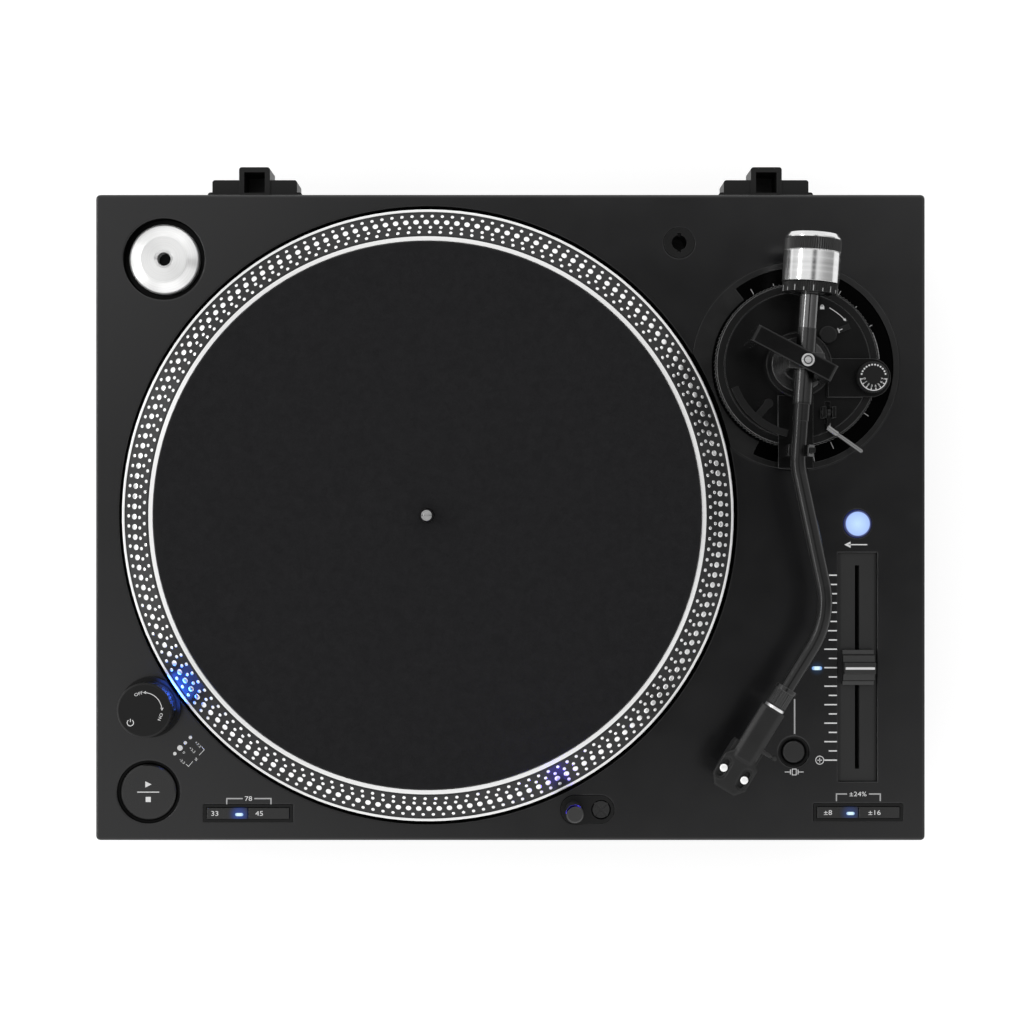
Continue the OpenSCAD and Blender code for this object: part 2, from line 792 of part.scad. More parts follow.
module base_screws() {
    color(plain_steel) for (place = screw_places())
        translate([place[0], place[1] + deck_y, foot_h]) difference() {
            union() {
                cylinder(d = screw_head_d, h = screw_head_h);
                cylinder(d = screw_d, h = pan_h + screw_grip);
            }
            translate([0, 0, -eps]) cylinder(d = 2.6, h = 1.6, $fn = 6);
        }
}

// A levelling foot: rubber sole, waisted cup and threaded stud
module foot(side, end) {
    place = foot_place(side, end);
    r = foot_d / 2;
    neck_r = foot_boss_d / 2;
    color(black_rubber) translate([place[0], place[1] + deck_y, 0]) {
        rotate_extrude() polygon([
            [0, 0], [r - 4, 0], [r - 3, 1.2], [r - 3, 5], [r - 4.2, 5.4], [r - 4.2, 6.6],
            [r - 1.2, 6.8], [r, 8], [r, foot_h - 9], [r - 1.2, foot_h - 7],
            [neck_r + 4, foot_h - 4.5], [neck_r + 4, foot_h - free_gap],
            [stud_d / 2, foot_h - free_gap], [stud_d / 2, foot_h + stud_len],
            [0, foot_h + stud_len]]);
    }
}

module foot_front_left() {
    foot(-1, -1);
}

module foot_front_right() {
    foot(1, -1);
}

module foot_rear_left() {
    foot(-1, 1);
}

module foot_rear_right() {
    foot(1, 1);
}

// A dust cover socket: a foot plate and shoulders on the rear wall, with an open-topped pocket
hinge_screw_d = 3.2;

module hinge_step(w, reach, h) {
    linear_extrude(h) {
        translate([0, reach / 2]) rounded(w, reach, hinge_corner_r);
        translate([-w / 2, 0]) square([w, reach / 2]);
    }
}

module hinge_socket(side) {
    color(black_plastic) at([side * hinge_x, rear_y], -hinge_drop - hinge_h) difference() {
        union() {
            hinge_step(hinge_plate_w, hinge_plate_t, hinge_h - 2);
            hinge_step(hinge_flange_w, hinge_flange_reach, hinge_h - 1);
            hinge_step(hinge_w, hinge_reach, hinge_h);
        }
        translate([-hinge_w / 2 + hinge_t, hinge_t, hinge_t])
            cube([hinge_w - 2 * hinge_t, hinge_reach - 2 * hinge_t, hinge_h]);
        for (x = [-1, 1]) translate([x * (hinge_w + hinge_flange_w) / 4, -1, hinge_h / 2])
            rotate([-90, 0, 0]) cylinder(d = hinge_screw_d, h = hinge_flange_reach + 2);
    }
}

module hinge_socket_left() {
    hinge_socket(-1);
}

module hinge_socket_right() {
    hinge_socket(1);
}

// Connections in the rear wall
rear_window_drop = 28;
tray_t = 2.5;
jack_w = 58;
jack_h = 23;
jack_x = end_screw_x - screw_post_d / 2 - jack_w / 2 - 8;
jack_d = 8.3;
jack_len = 9;
jack_pitch = 14;
jack_shift = 8;
jack_recess = 12;
inlet_x = -62;
inlet_w = 30;
inlet_h = 22;
inlet_len = 20;

// A tray in the rear wall, open to the rear
module rear_tray(w, h, depth) {
    difference() {
        translate([0, 0, -depth]) linear_extrude(depth) square([w, h], center = true);
        translate([0, 0, -depth + tray_t]) linear_extrude(depth)
            rounded(w - 2 * tray_t, h - 2 * tray_t, 2);
    }
}

module jack_panel() {
    color(black_plastic) at([jack_x, rear_y], -rear_window_drop) rotate([-90, 0, 0]) {
        rear_tray(jack_w, jack_h, jack_recess + tray_t);
        for (x = [-1, 0]) translate([jack_shift + x * jack_pitch, 0, -jack_recess - eps])
            difference() {
                union() {
                    cylinder(d = jack_d + 3.4, h = 1.2);
                    cylinder(d = jack_d, h = jack_len);
                }
                translate([0, 0, 1.2]) cylinder(d = 3.2, h = jack_len);
            }
        translate([jack_w / 2 - 9, 0, -jack_recess - eps]) {
            cylinder(d = 4, h = jack_len + 2);
            translate([0, 0, 3]) linear_extrude(5) knurl(9, 0.5, 24);
        }
    }
}

module power_inlet() {
    color(black_plastic) at([inlet_x, rear_y], -rear_window_drop) rotate([-90, 0, 0]) {
        rear_tray(inlet_w, inlet_h, inlet_len);
        for (pin = [[-7, 2], [0, -3], [7, 2]])
            translate([pin[0] - 1, pin[1] - 2, -inlet_len + tray_t - eps]) cube([2, 4, 10]);
    }
}

// Platter, mat and the shaft they turn with
module platter() {
    r = platter_d / 2;
    slope_out = r - edge_w;
    slope_in = slope_out - band_w;
    bore = seat_d / 2 + run_gap / 3;
    color(bright_metal) at(spindle_at) rotate_extrude() polygon([
        [bore, mat_floor], [mat_r, mat_floor], [mat_r, platter_rise],
        [slope_in, platter_rise], [slope_out, edge_rise], [r - 0.5, edge_rise],
        [r, edge_rise - 0.5], [r, 1], [r - 1, 0], [r - 1, -rim_drop + 1], [r - 2, -rim_drop],
        [r - rim_w, -rim_drop], [r - rim_w - 6, mat_floor - web_t],
        [hub_d / 2 + 3, mat_floor - web_t], [hub_d / 2, mat_floor - web_t - 3],
        [hub_d / 2, hub_bottom], [bore, hub_bottom]]);
}

module slipmat() {
    color(felt_black) at(spindle_at, mat_floor) linear_extrude(mat_t)
        ring(2 * (mat_r - free_gap), spindle_d + 2 * free_gap);
}

module spindle() {
    r = spindle_d / 2;
    neck = r - spindle_relief;
    tip = mat_top + spindle_rise;
    color(bright_metal) at(spindle_at) rotate_extrude() polygon([
        [0, tip], [r * 0.45, tip - 0.4], [r * 0.8, tip - 1.4], [r, tip - 3], [r, mat_top],
        [neck, mat_top - spindle_relief], [neck, mat_floor], [seat_d / 2, mat_floor - 0.6],
        [seat_d / 2, hub_bottom], [seat_d / 2 + 5, hub_bottom],
        [seat_d / 2 + 5, rotor_top], [shaft_d / 2, rotor_top], [shaft_d / 2, shaft_bottom + 1],
        [shaft_d / 2 - 1, shaft_bottom], [0, shaft_bottom]]);
}

// Rotor cup with its magnet ring, hung on the shaft under the platter
module rotor() {
    skirt_in = rotor_d - 2 * rotor_t;
    magnet_h = rotor_h - rotor_t - 0.6;
    color(plain_steel) at(spindle_at, rotor_top) {
        translate([0, 0, -rotor_t]) linear_extrude(rotor_t)
            ring(rotor_d, shaft_d + 2 * run_gap);
        translate([0, 0, -rotor_h]) linear_extrude(rotor_h - rotor_t)
            ring(rotor_d, skirt_in);
        translate([0, 0, -rotor_t - magnet_h]) linear_extrude(magnet_h)
            ring(skirt_in, skirt_in - 2 * magnet_w);
    }
}

// Stator plate under the well's floor, with a ring of wound coils inside the magnet
module motor_stator() {
    plate_d = rotor_d + 2 * motor_gap + 2 * stator_flange;
    coil_r = rotor_d / 2 - rotor_t - magnet_w - 7.5;
    coil_d = 2 * coil_r * sin(180 / coil_count) - 0.8;
    coil_h = rotor_top - rotor_t - 1 - (stator_top - 0.5);
    color(copper_wire) at(spindle_at, stator_top - stator_t) {
        linear_extrude(stator_t) ring(plate_d, bearing_d + 2 * set_gap);
        for (i = [0:coil_count - 1]) rotate([0, 0, 360 * i / coil_count])
            translate([coil_r, 0, stator_t - eps]) linear_extrude(coil_h - 0.5)
                ring(coil_d, coil_d / 2.4);
    }
}

module spindle_bearing() {
    flange_top = stator_top - stator_t;
    color(plain_steel) at(spindle_at) rotate_extrude() polygon([
        [shaft_d / 2 + run_gap, stator_top + 3], [bearing_d / 2, stator_top + 3],
        [bearing_d / 2, flange_top], [bearing_flange_d / 2, flange_top],
        [bearing_flange_d / 2, flange_top - 3], [bearing_d / 2, flange_top - 3],
        [bearing_d / 2, shaft_bottom - 5], [0, shaft_bottom - 5],
        [0, shaft_bottom - free_gap], [shaft_d / 2 + run_gap, shaft_bottom - free_gap]]);
}

// Electronics on the pan and under the controls
transformer_inset = [98, 80];
transformer_at = [left_x + transformer_inset[0], rear_y - transformer_inset[1]];
transformer_size = [58, 48, 30];

module main_board() {
    top = pan_t + main_board_lift;
    color(board_green)
        translate([main_board_at[0], main_board_at[1] + deck_y, foot_h + top]) {
            linear_extrude(board_t) rounded(main_board_size[0], main_board_size[1], 2);
            translate([-34, 8, board_t]) cube([16, 16, 3]);
            translate([12, -12, board_t]) cube([20, 12, 2.5]);
            translate([-44, -24, board_t]) cube([30, 3, 12]);
            for (i = [0:3]) translate([-4 + 12 * i, 22, board_t]) cylinder(d = 8, h = 11);
            for (i = [0:4]) translate([-6 + 9 * i, -28, board_t]) cube([6, 6, 7]);
        }
}

module power_transformer() {
    w = transformer_size[0];
    d = transformer_size[1];
    h = transformer_size[2];
    color(plain_steel)
        translate([transformer_at[0], transformer_at[1] + deck_y, foot_h + pan_t]) {
            translate([-w / 2 - 9, -8, 0]) cube([w + 18, 16, 1.6]);
            translate([-w / 2, -d / 4, 0]) cube([w, d / 2, h]);
            translate([0, 0, h / 2]) rotate([90, 0, 0])
                linear_extrude(d, center = true) rounded(w * 0.62, h * 0.8, 4);
        }
}

module switch_boards() {
    color(board_green) for (board = board_list()) at(board[0], -board_drop) {
        translate([0, 0, -board_t]) linear_extrude(board_t)
            square(board[1], center = true);
        for (x = board[2]) translate([x - 3, -3, -eps]) cube([6, 6, switch_h]);
    }
}

// Frames of the two pairs of flat buttons
module button_frames() {
    color(black_plastic) for (place = [speed_at, range_at]) at(place, -top_t) {
        linear_extrude(top_t + 0.2) difference() {
            square([pair_w - 2 * set_gap, pair_d - 2 * set_gap], center = true);
            square([pair_w - 2 * set_gap - 2 * pair_t, pair_d - 2 * set_gap - 2 * pair_t],
                center = true);
        }
        translate([0, 0, -frame_flange]) linear_extrude(frame_flange) difference() {
            square([pair_w + 2 * frame_lip, pair_d + 2 * frame_lip], center = true);
            square([pair_w - 2 * set_gap - 2 * pair_t, pair_d - 2 * set_gap - 2 * pair_t],
                center = true);
        }
    }
}

// A flat button with rounded front edges, held by a flange under its frame
module flat_button(place, side) {
    color(black_plastic) at(place + [side * button_shift, 0]) {
        stem_h = top_t + frame_flange + free_gap;
        translate([0, 0, -stem_h]) intersection() {
            linear_extrude(stem_h + button_proud) square([button_w, button_d], center = true);
            rounded_beam(button_w, stem_h + button_proud, 0.5, button_d + 2);
        }
        translate([0, 0, -stem_h - flange_t]) linear_extrude(flange_t + eps)
            square([button_w, button_d + 2], center = true);
    }
}

module button_33() {
    flat_button(speed_at, -1);
}

module button_45() {
    flat_button(speed_at, 1);
}

module button_range_low() {
    flat_button(range_at, -1);
}

module button_range_high() {
    flat_button(range_at, 1);
}

// A round button with a chamfered cap and a flange under the deck's top plate
module round_button(place, d, proud, chamfer) {
    stem_h = top_t + free_gap;
    at(place, -stem_h) {
        turned(d, stem_h + proud, chamfer);
        translate([0, 0, -flange_t]) cylinder(d = d + 2, h = flange_t + eps);
    }
}

module start_stop_button() {
    color(black_plastic) round_button(start_at, start_d, 0.6, 0.8);
}

module quartz_button() {
    color(black_plastic) round_button(quartz_at, quartz_d, 0.2, 0.6);
}

module reverse_button() {
    color(lit_blue) round_button(reverse_at, reverse_d, 1, 0.8);
}

// Power knob on the strobe tower
switch_body_d = 20;
switch_body_h = 20;
knob_shaft_d = 8;
window_z = 4.4;

module tower_window(grow) {
    aim = atan2(spindle_at[1] - power_at[1], spindle_at[0] - power_at[0]);
    translate([0, 0, window_z - grow]) linear_extrude(window_h + 2 * grow) difference() {
        sector(power_d, aim - window_angle - grow, aim + window_angle + grow);
        circle(d = power_d - 7);
    }
}

module strobe_tower() {
    color(black_plastic) at(power_at) difference() {
        union() {
            cylinder(d = power_d - 0.8, h = tower_h);
            difference() {
                cylinder(d = tower_foot_d, h = 2.6);
                translate([spindle_at[0] - power_at[0], spindle_at[1] - power_at[1], -1])
                    cylinder(r = well_r, h = 5);
            }
            translate([0, 0, -switch_body_h]) cylinder(d = switch_body_d, h = switch_body_h + 1);
        }
        tower_window(0.2);
        translate([0, 0, tower_h - 11]) cylinder(d = knob_shaft_d + 2 * run_gap, h = 12);
    }
}

module strobe_lens() {
    color(lit_blue) at(power_at) intersection() {
        tower_window(0);
        cylinder(d = power_d - 1, h = tower_h);
    }
}

module power_knob() {
    color(black_plastic) at(power_at, tower_h + free_gap) {
        difference() {
            turned(power_d, power_h, 0.9);
            for (i = [0:35]) rotate([0, 0, 10 * i])
                translate([power_d / 2 + 0.35, 0, -1]) cylinder(d = 1.4, h = power_h - 1);
        }
        translate([0, 0, -10]) cylinder(d = knob_shaft_d, h = 10 + eps);
    }
}

module adaptor_45() {
    r = adaptor_d / 2;
    flat_r = adaptor_top_d / 2;
    bore = spindle_d / 2 + run_gap;
    color(bright_metal) at(adaptor_at, -adaptor_sink) rotate_extrude() polygon([
        [bore, 0], [r - 0.6, 0], [r, 0.6], [r, adaptor_h - 3.8], [r - 0.8, adaptor_h - 3],
        [flat_r + 1, adaptor_h - 0.2], [flat_r, adaptor_h], [bore + 1.6, adaptor_h],
        [bore, adaptor_h - 1.6]]);
}

// Pitch slider
pitch_slot_len = 2 * pitch_travel + 11;
stem_len = 6;
fader_w = 12;
fader_h = 12;

module pitch_panel() {
    color(black_plastic) at(pitch_at, -pitch_sink - pitch_t) linear_extrude(pitch_t)
        difference() {
            square([pitch_w - 2 * set_gap, pitch_len - 2 * set_gap], center = true);
            square([slot_w, pitch_slot_len], center = true);
        }
}

module pitch_fader() {
    color(plain_steel) at(pitch_at, -top_t - fader_h) difference() {
        translate([-fader_w / 2, -pitch_slot_len / 2 - 5, 0])
            cube([fader_w, pitch_slot_len + 10, fader_h]);
        translate([-slot_w / 2, -pitch_slot_len / 2, 2])
            cube([slot_w, pitch_slot_len, fader_h]);
    }
}

// The pitch knob, stepped up to a narrow crest across the slot, on its flat stem
module pitch_knob() {
    foot_z = -pitch_sink + free_gap;
    steps = [[1, 0], [1, 0.28], [0.78, 0.34], [0.7, 0.56], [0.36, 0.62], [0.3, 1]];
    color(black_plastic) at(pitch_at) {
        translate([0, 0, foot_z]) rotate([90, 0, 90]) linear_extrude(knob_w, center = true)
            polygon(concat(
                [for (s = steps) [s[0] * knob_len / 2, s[1] * knob_h]],
                [for (i = [len(steps) - 1:-1:0])
                    [-steps[i][0] * knob_len / 2, steps[i][1] * knob_h]]));
        translate([-slot_w / 2 + free_gap, -stem_len / 2, -top_t - fader_h + 3])
            cube([slot_w - 2 * free_gap, stem_len, top_t + fader_h - 3 + foot_z + eps]);
    }
}

// Pop-up target lamp
bezel_sink = 2.4;
lamp_sleeve_d = lamp_d + 3;
lamp_tail = 9;

module lamp_bezel() {
    color(black_plastic) at(bezel_at) difference() {
        union() {
            translate([0, 0, -bezel_sink]) linear_extrude(bezel_sink + 0.4)
                pill(bezel_w - 2 * set_gap, bezel_d - 2 * set_gap);
            translate([-lamp_pitch, 0, -lamp_rise - lamp_tail - 2])
                cylinder(d = lamp_sleeve_d, h = lamp_rise + lamp_tail + 2);
        }
        translate([-lamp_pitch, 0, -lamp_rise - lamp_tail - 1])
            cylinder(d = lamp_d + 2 * run_gap, h = lamp_rise + lamp_tail + 4);
        translate([lamp_pitch, 0, -bezel_sink - 1]) cylinder(d = push_d + 2 * free_gap, h = 5);
    }
}

// The lamp's stalk, with its top cut back to a slanted window over the record
module target_lamp() {
    color(black_plastic) at(lamp_at, -lamp_tail) difference() {
        turned(lamp_d, lamp_tail + lamp_rise, 0.8);
        translate([0, 0, lamp_tail + lamp_rise - 5.5]) rotate([0, 0, 120])
            translate([lamp_d * 0.12, -lamp_d, 0]) rotate([0, -20, 0])
                cube([lamp_d, 2 * lamp_d, 4]);
    }
}

module target_button() {
    stem_h = top_t + free_gap;
    color(black_plastic) at(push_at, -stem_h) {
        difference() {
            turned(push_d, stem_h - 0.4, 0.5);
            for (a = [45, 135]) rotate([0, 0, a]) translate([-push_d, -0.6, stem_h - 1])
                cube([2 * push_d, 1.2, 2]);
        }
        translate([0, 0, -flange_t]) cylinder(d = push_d + 1.6, h = flange_t + eps);
    }
}

// Holder for a spare headshell: a keyed bore with a flat rim
holder_sink = 1.2;
holder_barrel_d = holder_bore_d + 4.4;
holder_len = 22;

module headshell_holder() {
    color(black_plastic) at(holder_at) difference() {
        union() {
            translate([0, 0, -holder_sink]) cylinder(d = holder_d, h = holder_sink + 0.3);
            translate([0, 0, -holder_len]) cylinder(d = holder_barrel_d, h = holder_len);
        }
        translate([0, 0, -holder_len + 2]) cylinder(d = holder_bore_d, h = holder_len);
        for (y = [-1, 1]) translate([-1, y > 0 ? 0 : -holder_bore_d / 2 - 1.2, -5])
            cube([2, holder_bore_d / 2 + 1.2, 8]);
    }
}

// Tonearm base: plate with a moat round the height ring, cut by the platter's well
cover_from = 128;
cover_to = 244;

module arm_base() {
    color(black_paint) at(pivot_at) difference() {
        union() {
            translate([0, 0, -base_sink]) cylinder(d = base_d, h = base_sink - moat_sink);
            translate([0, 0, -base_sink]) linear_extrude(base_sink + base_proud)
                ring(base_d, base_d - 2 * base_lip_w);
            translate([0, 0, -base_sink]) linear_extrude(base_sink + base_proud)
                intersection() {
                    ring(base_d - base_lip_w, height_ring_d + 2);
                    sector(base_d, cover_from, cover_to);
                }
            translate([0, 0, -barrel_len]) cylinder(d = barrel_d, h = barrel_len - moat_sink);
        }
        translate([0, 0, -barrel_len - 1])
            cylinder(d = guide_d + 2 * run_gap, h = barrel_len + base_proud + 2);
        translate([spindle_at[0] - pivot_at[0], spindle_at[1] - pivot_at[1], -base_sink - 1])
            cylinder(r = well_r + 0.6, h = base_sink + base_proud + 2);
    }
}

module height_ring() {
    color(black_paint) at(pivot_at, moat_floor + free_gap) difference() {
        union() {
            linear_extrude(height_ring_rise - moat_floor - free_gap - 1.2)
                knurl(height_ring_d, 0.6, height_ring_teeth);
            cylinder(d = height_ring_d - 2.4, h = height_ring_rise - moat_floor - free_gap);
        }
        translate([0, 0, -1]) cylinder(d = height_ring_bore, h = height_ring_rise + 5);
    }
}

// The platform that rises with the height ring and carries the whole arm
module arm_platform() {
    foot_size = rest_foot[1] - rest_foot[0];
    color(black_paint) at(pivot_at) difference() {
        union() {
            cylinder(d = platform_d, h = platform_top);
            translate([0, 0, -barrel_len + 6]) cylinder(d = guide_d, h = barrel_len - 5);
            translate([rest_foot[0][0], rest_foot[0][1], overhang])
                cube([foot_size[0], foot_size[1], rest_foot_top - overhang]);
            translate([0, 0, overhang]) linear_extrude(skate_top - overhang) {
                translate([skate_block[0], skate_at[1] - skate_block[1]])
                    square([skate_at[0] - skate_block[0], 2 * skate_block[1]]);
                translate(skate_at) circle(r = skate_block[1]);
            }
            for (x = [-1, 1]) translate([cue_at[0] + x * 2.6 - 1, cue_at[1] - 3, 1])
                cube([2, 6, cue_axis + 2]);
        }
        translate([0, 0, -barrel_len]) cylinder(d = guide_d - 6, h = barrel_len + platform_under);
        translate([0, 0, -1]) cylinder(d = housing_stem_d + 2 * set_gap, h = platform_top + 2);
        translate([0, 0, platform_top]) cylinder(d = housing_d + 2 * set_gap, h = housing_h + 2);
        plan(skate_at, platform_top - 2)
            cylinder(d = dial_pin_d + 2 * run_gap, h = skate_top);
        plan(lock_at, 1.4) cylinder(d = dial_pin_d + 2 * run_gap, h = platform_top);
        plan(lift_post_at(), -1) cylinder(d = lift_post_d + 2 * run_gap, h = platform_top + 2);
        translate([cue_at[0] - 6, cue_at[1], cue_axis]) rotate([0, 90, 0])
            cylinder(d = trunnion_d + 2 * run_gap, h = 12);
        translate([cue_at[0] - 1.3, cue_at[1] - 6, platform_top - 3]) cube([2.6, 12, 12]);
    }
}

// Bearing housing of the upright pivot
housing_stem_d = yaw_shaft_d + 9;

module pivot_housing() {
    color(plain_steel) at(pivot_at) difference() {
        union() {
            translate([0, 0, platform_top]) cylinder(d = housing_d, h = housing_h);
            translate([0, 0, platform_under]) cylinder(d = housing_stem_d, h = platform_top);
        }
        translate([0, 0, housing_top - 1]) linear_extrude(2)
            ring(housing_d - 1.2, housing_d - 6.2);
        translate([0, 0, 3]) cylinder(d = yaw_shaft_d + 2 * run_gap, h = housing_top);
    }
}

// Bridge over the arm with a long left leg on the platform and a right leg on the housing
module pivot_bridge() {
    span = bridge_left + bridge_right;
    color(black_paint) at(pivot_at) rotate([0, 0, bridge_angle]) difference() {
        union() {
            translate([-bridge_left, -bridge_w / 2, bridge_top - bridge_t])
                cube([span, bridge_w, bridge_t]);
            translate([-bridge_left, -bridge_w / 2, platform_top])
                cube([bridge_leg_t, bridge_w, bridge_top - platform_top]);
            translate([bridge_right - bridge_leg_t, -bridge_w / 2, housing_top])
                cube([bridge_leg_t, bridge_w, bridge_top - housing_top]);
        }
        translate([0, 0, bridge_top - bridge_t - 1])
            cylinder(d = 4 + 2 * set_gap, h = bridge_t + 2);
        for (end = [[-bridge_left, 1], [bridge_right, -1]])
            translate([end[0], 0, bridge_top]) rotate([0, 45, 0])
                cube([1.6, bridge_w + 2, 1.6], center = true);
    }
}

// Pivot screw through the bridge, with its point in the top of the gimbal
module pivot_screw() {
    color(bright_metal) at(pivot_at) difference() {
        union() {
            translate([0, 0, bridge_top]) turned(6.8, 1.6, 0.4);
            translate([0, 0, bridge_top - bridge_t]) cylinder(d = 4, h = bridge_t + eps);
            translate([0, 0, gimbal_top - 1.2]) cylinder(d = trunnion_d, h = 2);
        }
        translate([-5, -0.5, bridge_top + 0.9]) cube([10, 1, 2]);
    }
}

// Gimbal frame: upright shaft, two cheeks with trunnion bores and a top plate
module gimbal() {
    outer = gimbal_half + gimbal_t;
    foot_z = housing_top + free_gap;
    plate_t = 1.5;
    color(dark_chrome) at(pivot_at) rotate([0, 0, arm_park]) difference() {
        union() {
            translate([0, 0, 4]) cylinder(d = yaw_shaft_d, h = foot_z - 3);
            translate([0, 0, foot_z]) cylinder(r = outer, h = 2);
            for (x = [-outer, gimbal_half]) translate([x, -gimbal_len / 2, foot_z])
                cube([gimbal_t, gimbal_len, gimbal_top - foot_z]);
            translate([-outer, -gimbal_len / 2, gimbal_top - plate_t])
                cube([2 * outer, gimbal_len, plate_t]);
        }
        translate([0, 0, gimbal_top - 3]) cylinder(d = trunnion_d + 2 * run_gap, h = 4);
        translate([-outer - 1, 0, arm_rise]) rotate([0, 90, 0])
            cylinder(d = trunnion_d + 2 * run_gap, h = 2 * outer + 2);
    }
}

// The arm: pivot sleeve with trunnions, neck, S-shaped tube and headshell socket
module arm_tube() {
    color(black_paint) {
        arm_frame() {
            along(-sleeve_rear) cylinder(d = sleeve_d, h = sleeve_rear + sleeve_front);
            along(sleeve_front - eps) cylinder(d = neck_d, h = neck_len);
            rotate([0, 90, 0])
                cylinder(d = trunnion_d, h = 2 * (gimbal_half + gimbal_t - 0.4), center = true);
            rotate([0, 90, 0])
                cylinder(d = trunnion_d + 2.6, h = 2 * (gimbal_half - run_gap), center = true);
            tube(arm_route, tube_d / 2);
        }
        shell_frame() along(-eps) difference() {
            cylinder(d = socket_d, h = socket_len);
            translate([0, 0, 1]) cylinder(d = plug_d + 2 * run_gap, h = socket_len);
        }
    }
}

module rear_stub() {
    color(dark_chrome) arm_frame() along(-stub_end) {
        cylinder(d = stub_d, h = stub_end - sleeve_rear);
        translate([0, 0, -0.5]) cylinder(d = stub_d - 1, h = 1);
    }
}

// Counterweight and tracking force dial, both threaded on the stub
weight_start = dial_start + dial_w;
stub_end = weight_start + drum_len + grip_len;

module counterweight() {
    total = drum_len + grip_len + rear_rim_len;
    rim_r = weight_d / 2 - 0.2;
    color(bright_metal) arm_frame() along(-weight_start - total) difference() {
        union() {
            rotate_extrude() polygon([[0, 0], [rim_r - 1.6, 0], [rim_r, rear_rim_len - 1.2],
                [rim_r, rear_rim_len], [0, rear_rim_len]]);
            translate([0, 0, rear_rim_len - eps]) linear_extrude(grip_len + 2 * eps)
                knurl(weight_d, 0.5, grip_teeth);
            translate([0, 0, rear_rim_len + grip_len])
                rotate_extrude() polygon([[0, 0], [weight_d / 2 - 0.6, 0], [weight_d / 2, 0.6],
                    [weight_d / 2, drum_len - 0.6], [weight_d / 2 - 0.6, drum_len - free_gap],
                    [0, drum_len - free_gap]]);
        }
        translate([0, 0, rear_rim_len - 0.6]) cylinder(d = stub_d + 2 * run_gap, h = total);
    }
}

module force_dial() {
    color(black_plastic) arm_frame() along(-weight_start) difference() {
        linear_extrude(dial_w) knurl(weight_d - 0.8, 0.35, grip_teeth);
        translate([0, 0, -1]) cylinder(d = stub_d + 2 * run_gap, h = dial_w + 2);
        translate([0, 0, dial_w - 1.2]) linear_extrude(2) ring(weight_d - 6, stub_d + 6);
    }
}

// Locking collar with its grip ribs, turning on the socket
module locking_collar() {
    color(black_paint) shell_frame() along(0) difference() {
        union() {
            cylinder(d = collar_d, h = collar_flange);
            translate([0, 0, collar_flange - eps]) linear_extrude(socket_len - collar_flange)
                knurl(socket_d + 2 * run_gap + 2 * collar_t, 0.25, 28);
        }
        translate([0, 0, -1]) cylinder(d = socket_d + 2 * run_gap, h = socket_len + 2);
    }
}

// Places along the headshell, from the socket's start
seal_len = 2.4;
seal_d = plug_d + 3;
shell_start = socket_len + seal_len;
shell_end = shell_start + shell_len;
screw_run = shell_end - 10;
cart_front = shell_end - 3.5;
shell_under = -2.4;
finger_run = shell_end - 28;
finger_d = 2.4;
finger_reach = 5.2;
finger_bend_r = 3;

// Front plate: shoulders from the neck, straight sides and slanted front corners
module shell_front() {
    side = shell_front_w / 2;
    nose = side - shell_corner * 0.8;
    rear = shell_end - shell_front_len;
    shoulder = rear + 4;
    back = shell_w / 2 - 0.4;
    polygon([[-back, -rear], [-side, -shoulder], [-side, -shell_end + shell_corner],
        [-nose, -shell_end], [nose, -shell_end], [side, -shell_end + shell_corner],
        [side, -shoulder], [back, -rear]]);
}

// Neck across the arm: a flat top between two slopes
module shell_neck() {
    w = shell_w / 2;
    top = shell_under + shell_t;
    polygon([[-w, shell_under], [w, shell_under], [w, 0], [w - shell_slope, top],
        [-w + shell_slope, top], [-w, 0]]);
}

// Headshell: keyed plug, seal ring, sloped neck, front plate with screw slots, finger lift
module headshell() {
    neck_end = shell_end - shell_front_len + 3;
    color(black_paint) shell_frame() {
        along(2) cylinder(d = plug_d, h = shell_start - 2);
        along(socket_len + free_gap) cylinder(d = seal_d, h = seal_len - free_gap);
        difference() {
            union() {
                along(shell_start - eps) linear_extrude(neck_end - shell_start) shell_neck();
                translate([0, 0, shell_under]) linear_extrude(shell_front_t) shell_front();
            }
            for (x = [-1, 1]) translate([x * cart_screw_gap / 2, -screw_run, shell_under - 1])
                rotate([0, 0, 90]) {
                    linear_extrude(shell_t + 2)
                        pill(shell_slot_len - shell_slot_w + cart_slot_w, cart_slot_w);
                    translate([0, 0, 1 + shell_front_t - shell_slot_sink]) linear_extrude(shell_t)
                        pill(shell_slot_len, shell_slot_w);
                }
        }
        translate([shell_w / 2 - 1, -finger_run, -0.8]) {
            rotate([0, 90, 0]) cylinder(d = finger_d, h = finger_reach);
            translate([finger_reach, 0, finger_bend_r]) rotate([90, 0, 0]) rotate([0, 0, -90])
                rotate_extrude(angle = 80) translate([finger_bend_r, 0]) circle(d = finger_d);
        }
    }
}

// Cartridge body with a sloping front, hung under the headshell
module cartridge() {
    rear = cart_front - cart_len;
    color(black_plastic) shell_frame() translate([0, 0, shell_under])
        rotate([90, 0, 90]) linear_extrude(cart_w, center = true) polygon([
            [-rear, 0], [-cart_front, 0], [-cart_front, -cart_h * 0.45],
            [-cart_front + 5, -cart_h], [-rear - 3, -cart_h], [-rear, -cart_h * 0.7]]);
}

// Stylus holder and slanted cantilever with its tip at the record's surface
module stylus() {
    top = shell_under - cart_h;
    tip_run = shell_end - 1.6;
    color(plain_steel) shell_frame() {
        translate([-3.5, -cart_front + 6, top - 3]) cube([7, 10, 3]);
        translate([-0.4, 0, 0]) rotate([90, 0, 90]) linear_extrude(0.8) polygon([
            [-cart_front + 7, top - 2.6], [-cart_front + 7, top - 1.6],
            [-tip_run, -stylus_drop + 1.3], [-tip_run, -stylus_drop],
            [-tip_run + 0.9, -stylus_drop + 0.9]]);
    }
}

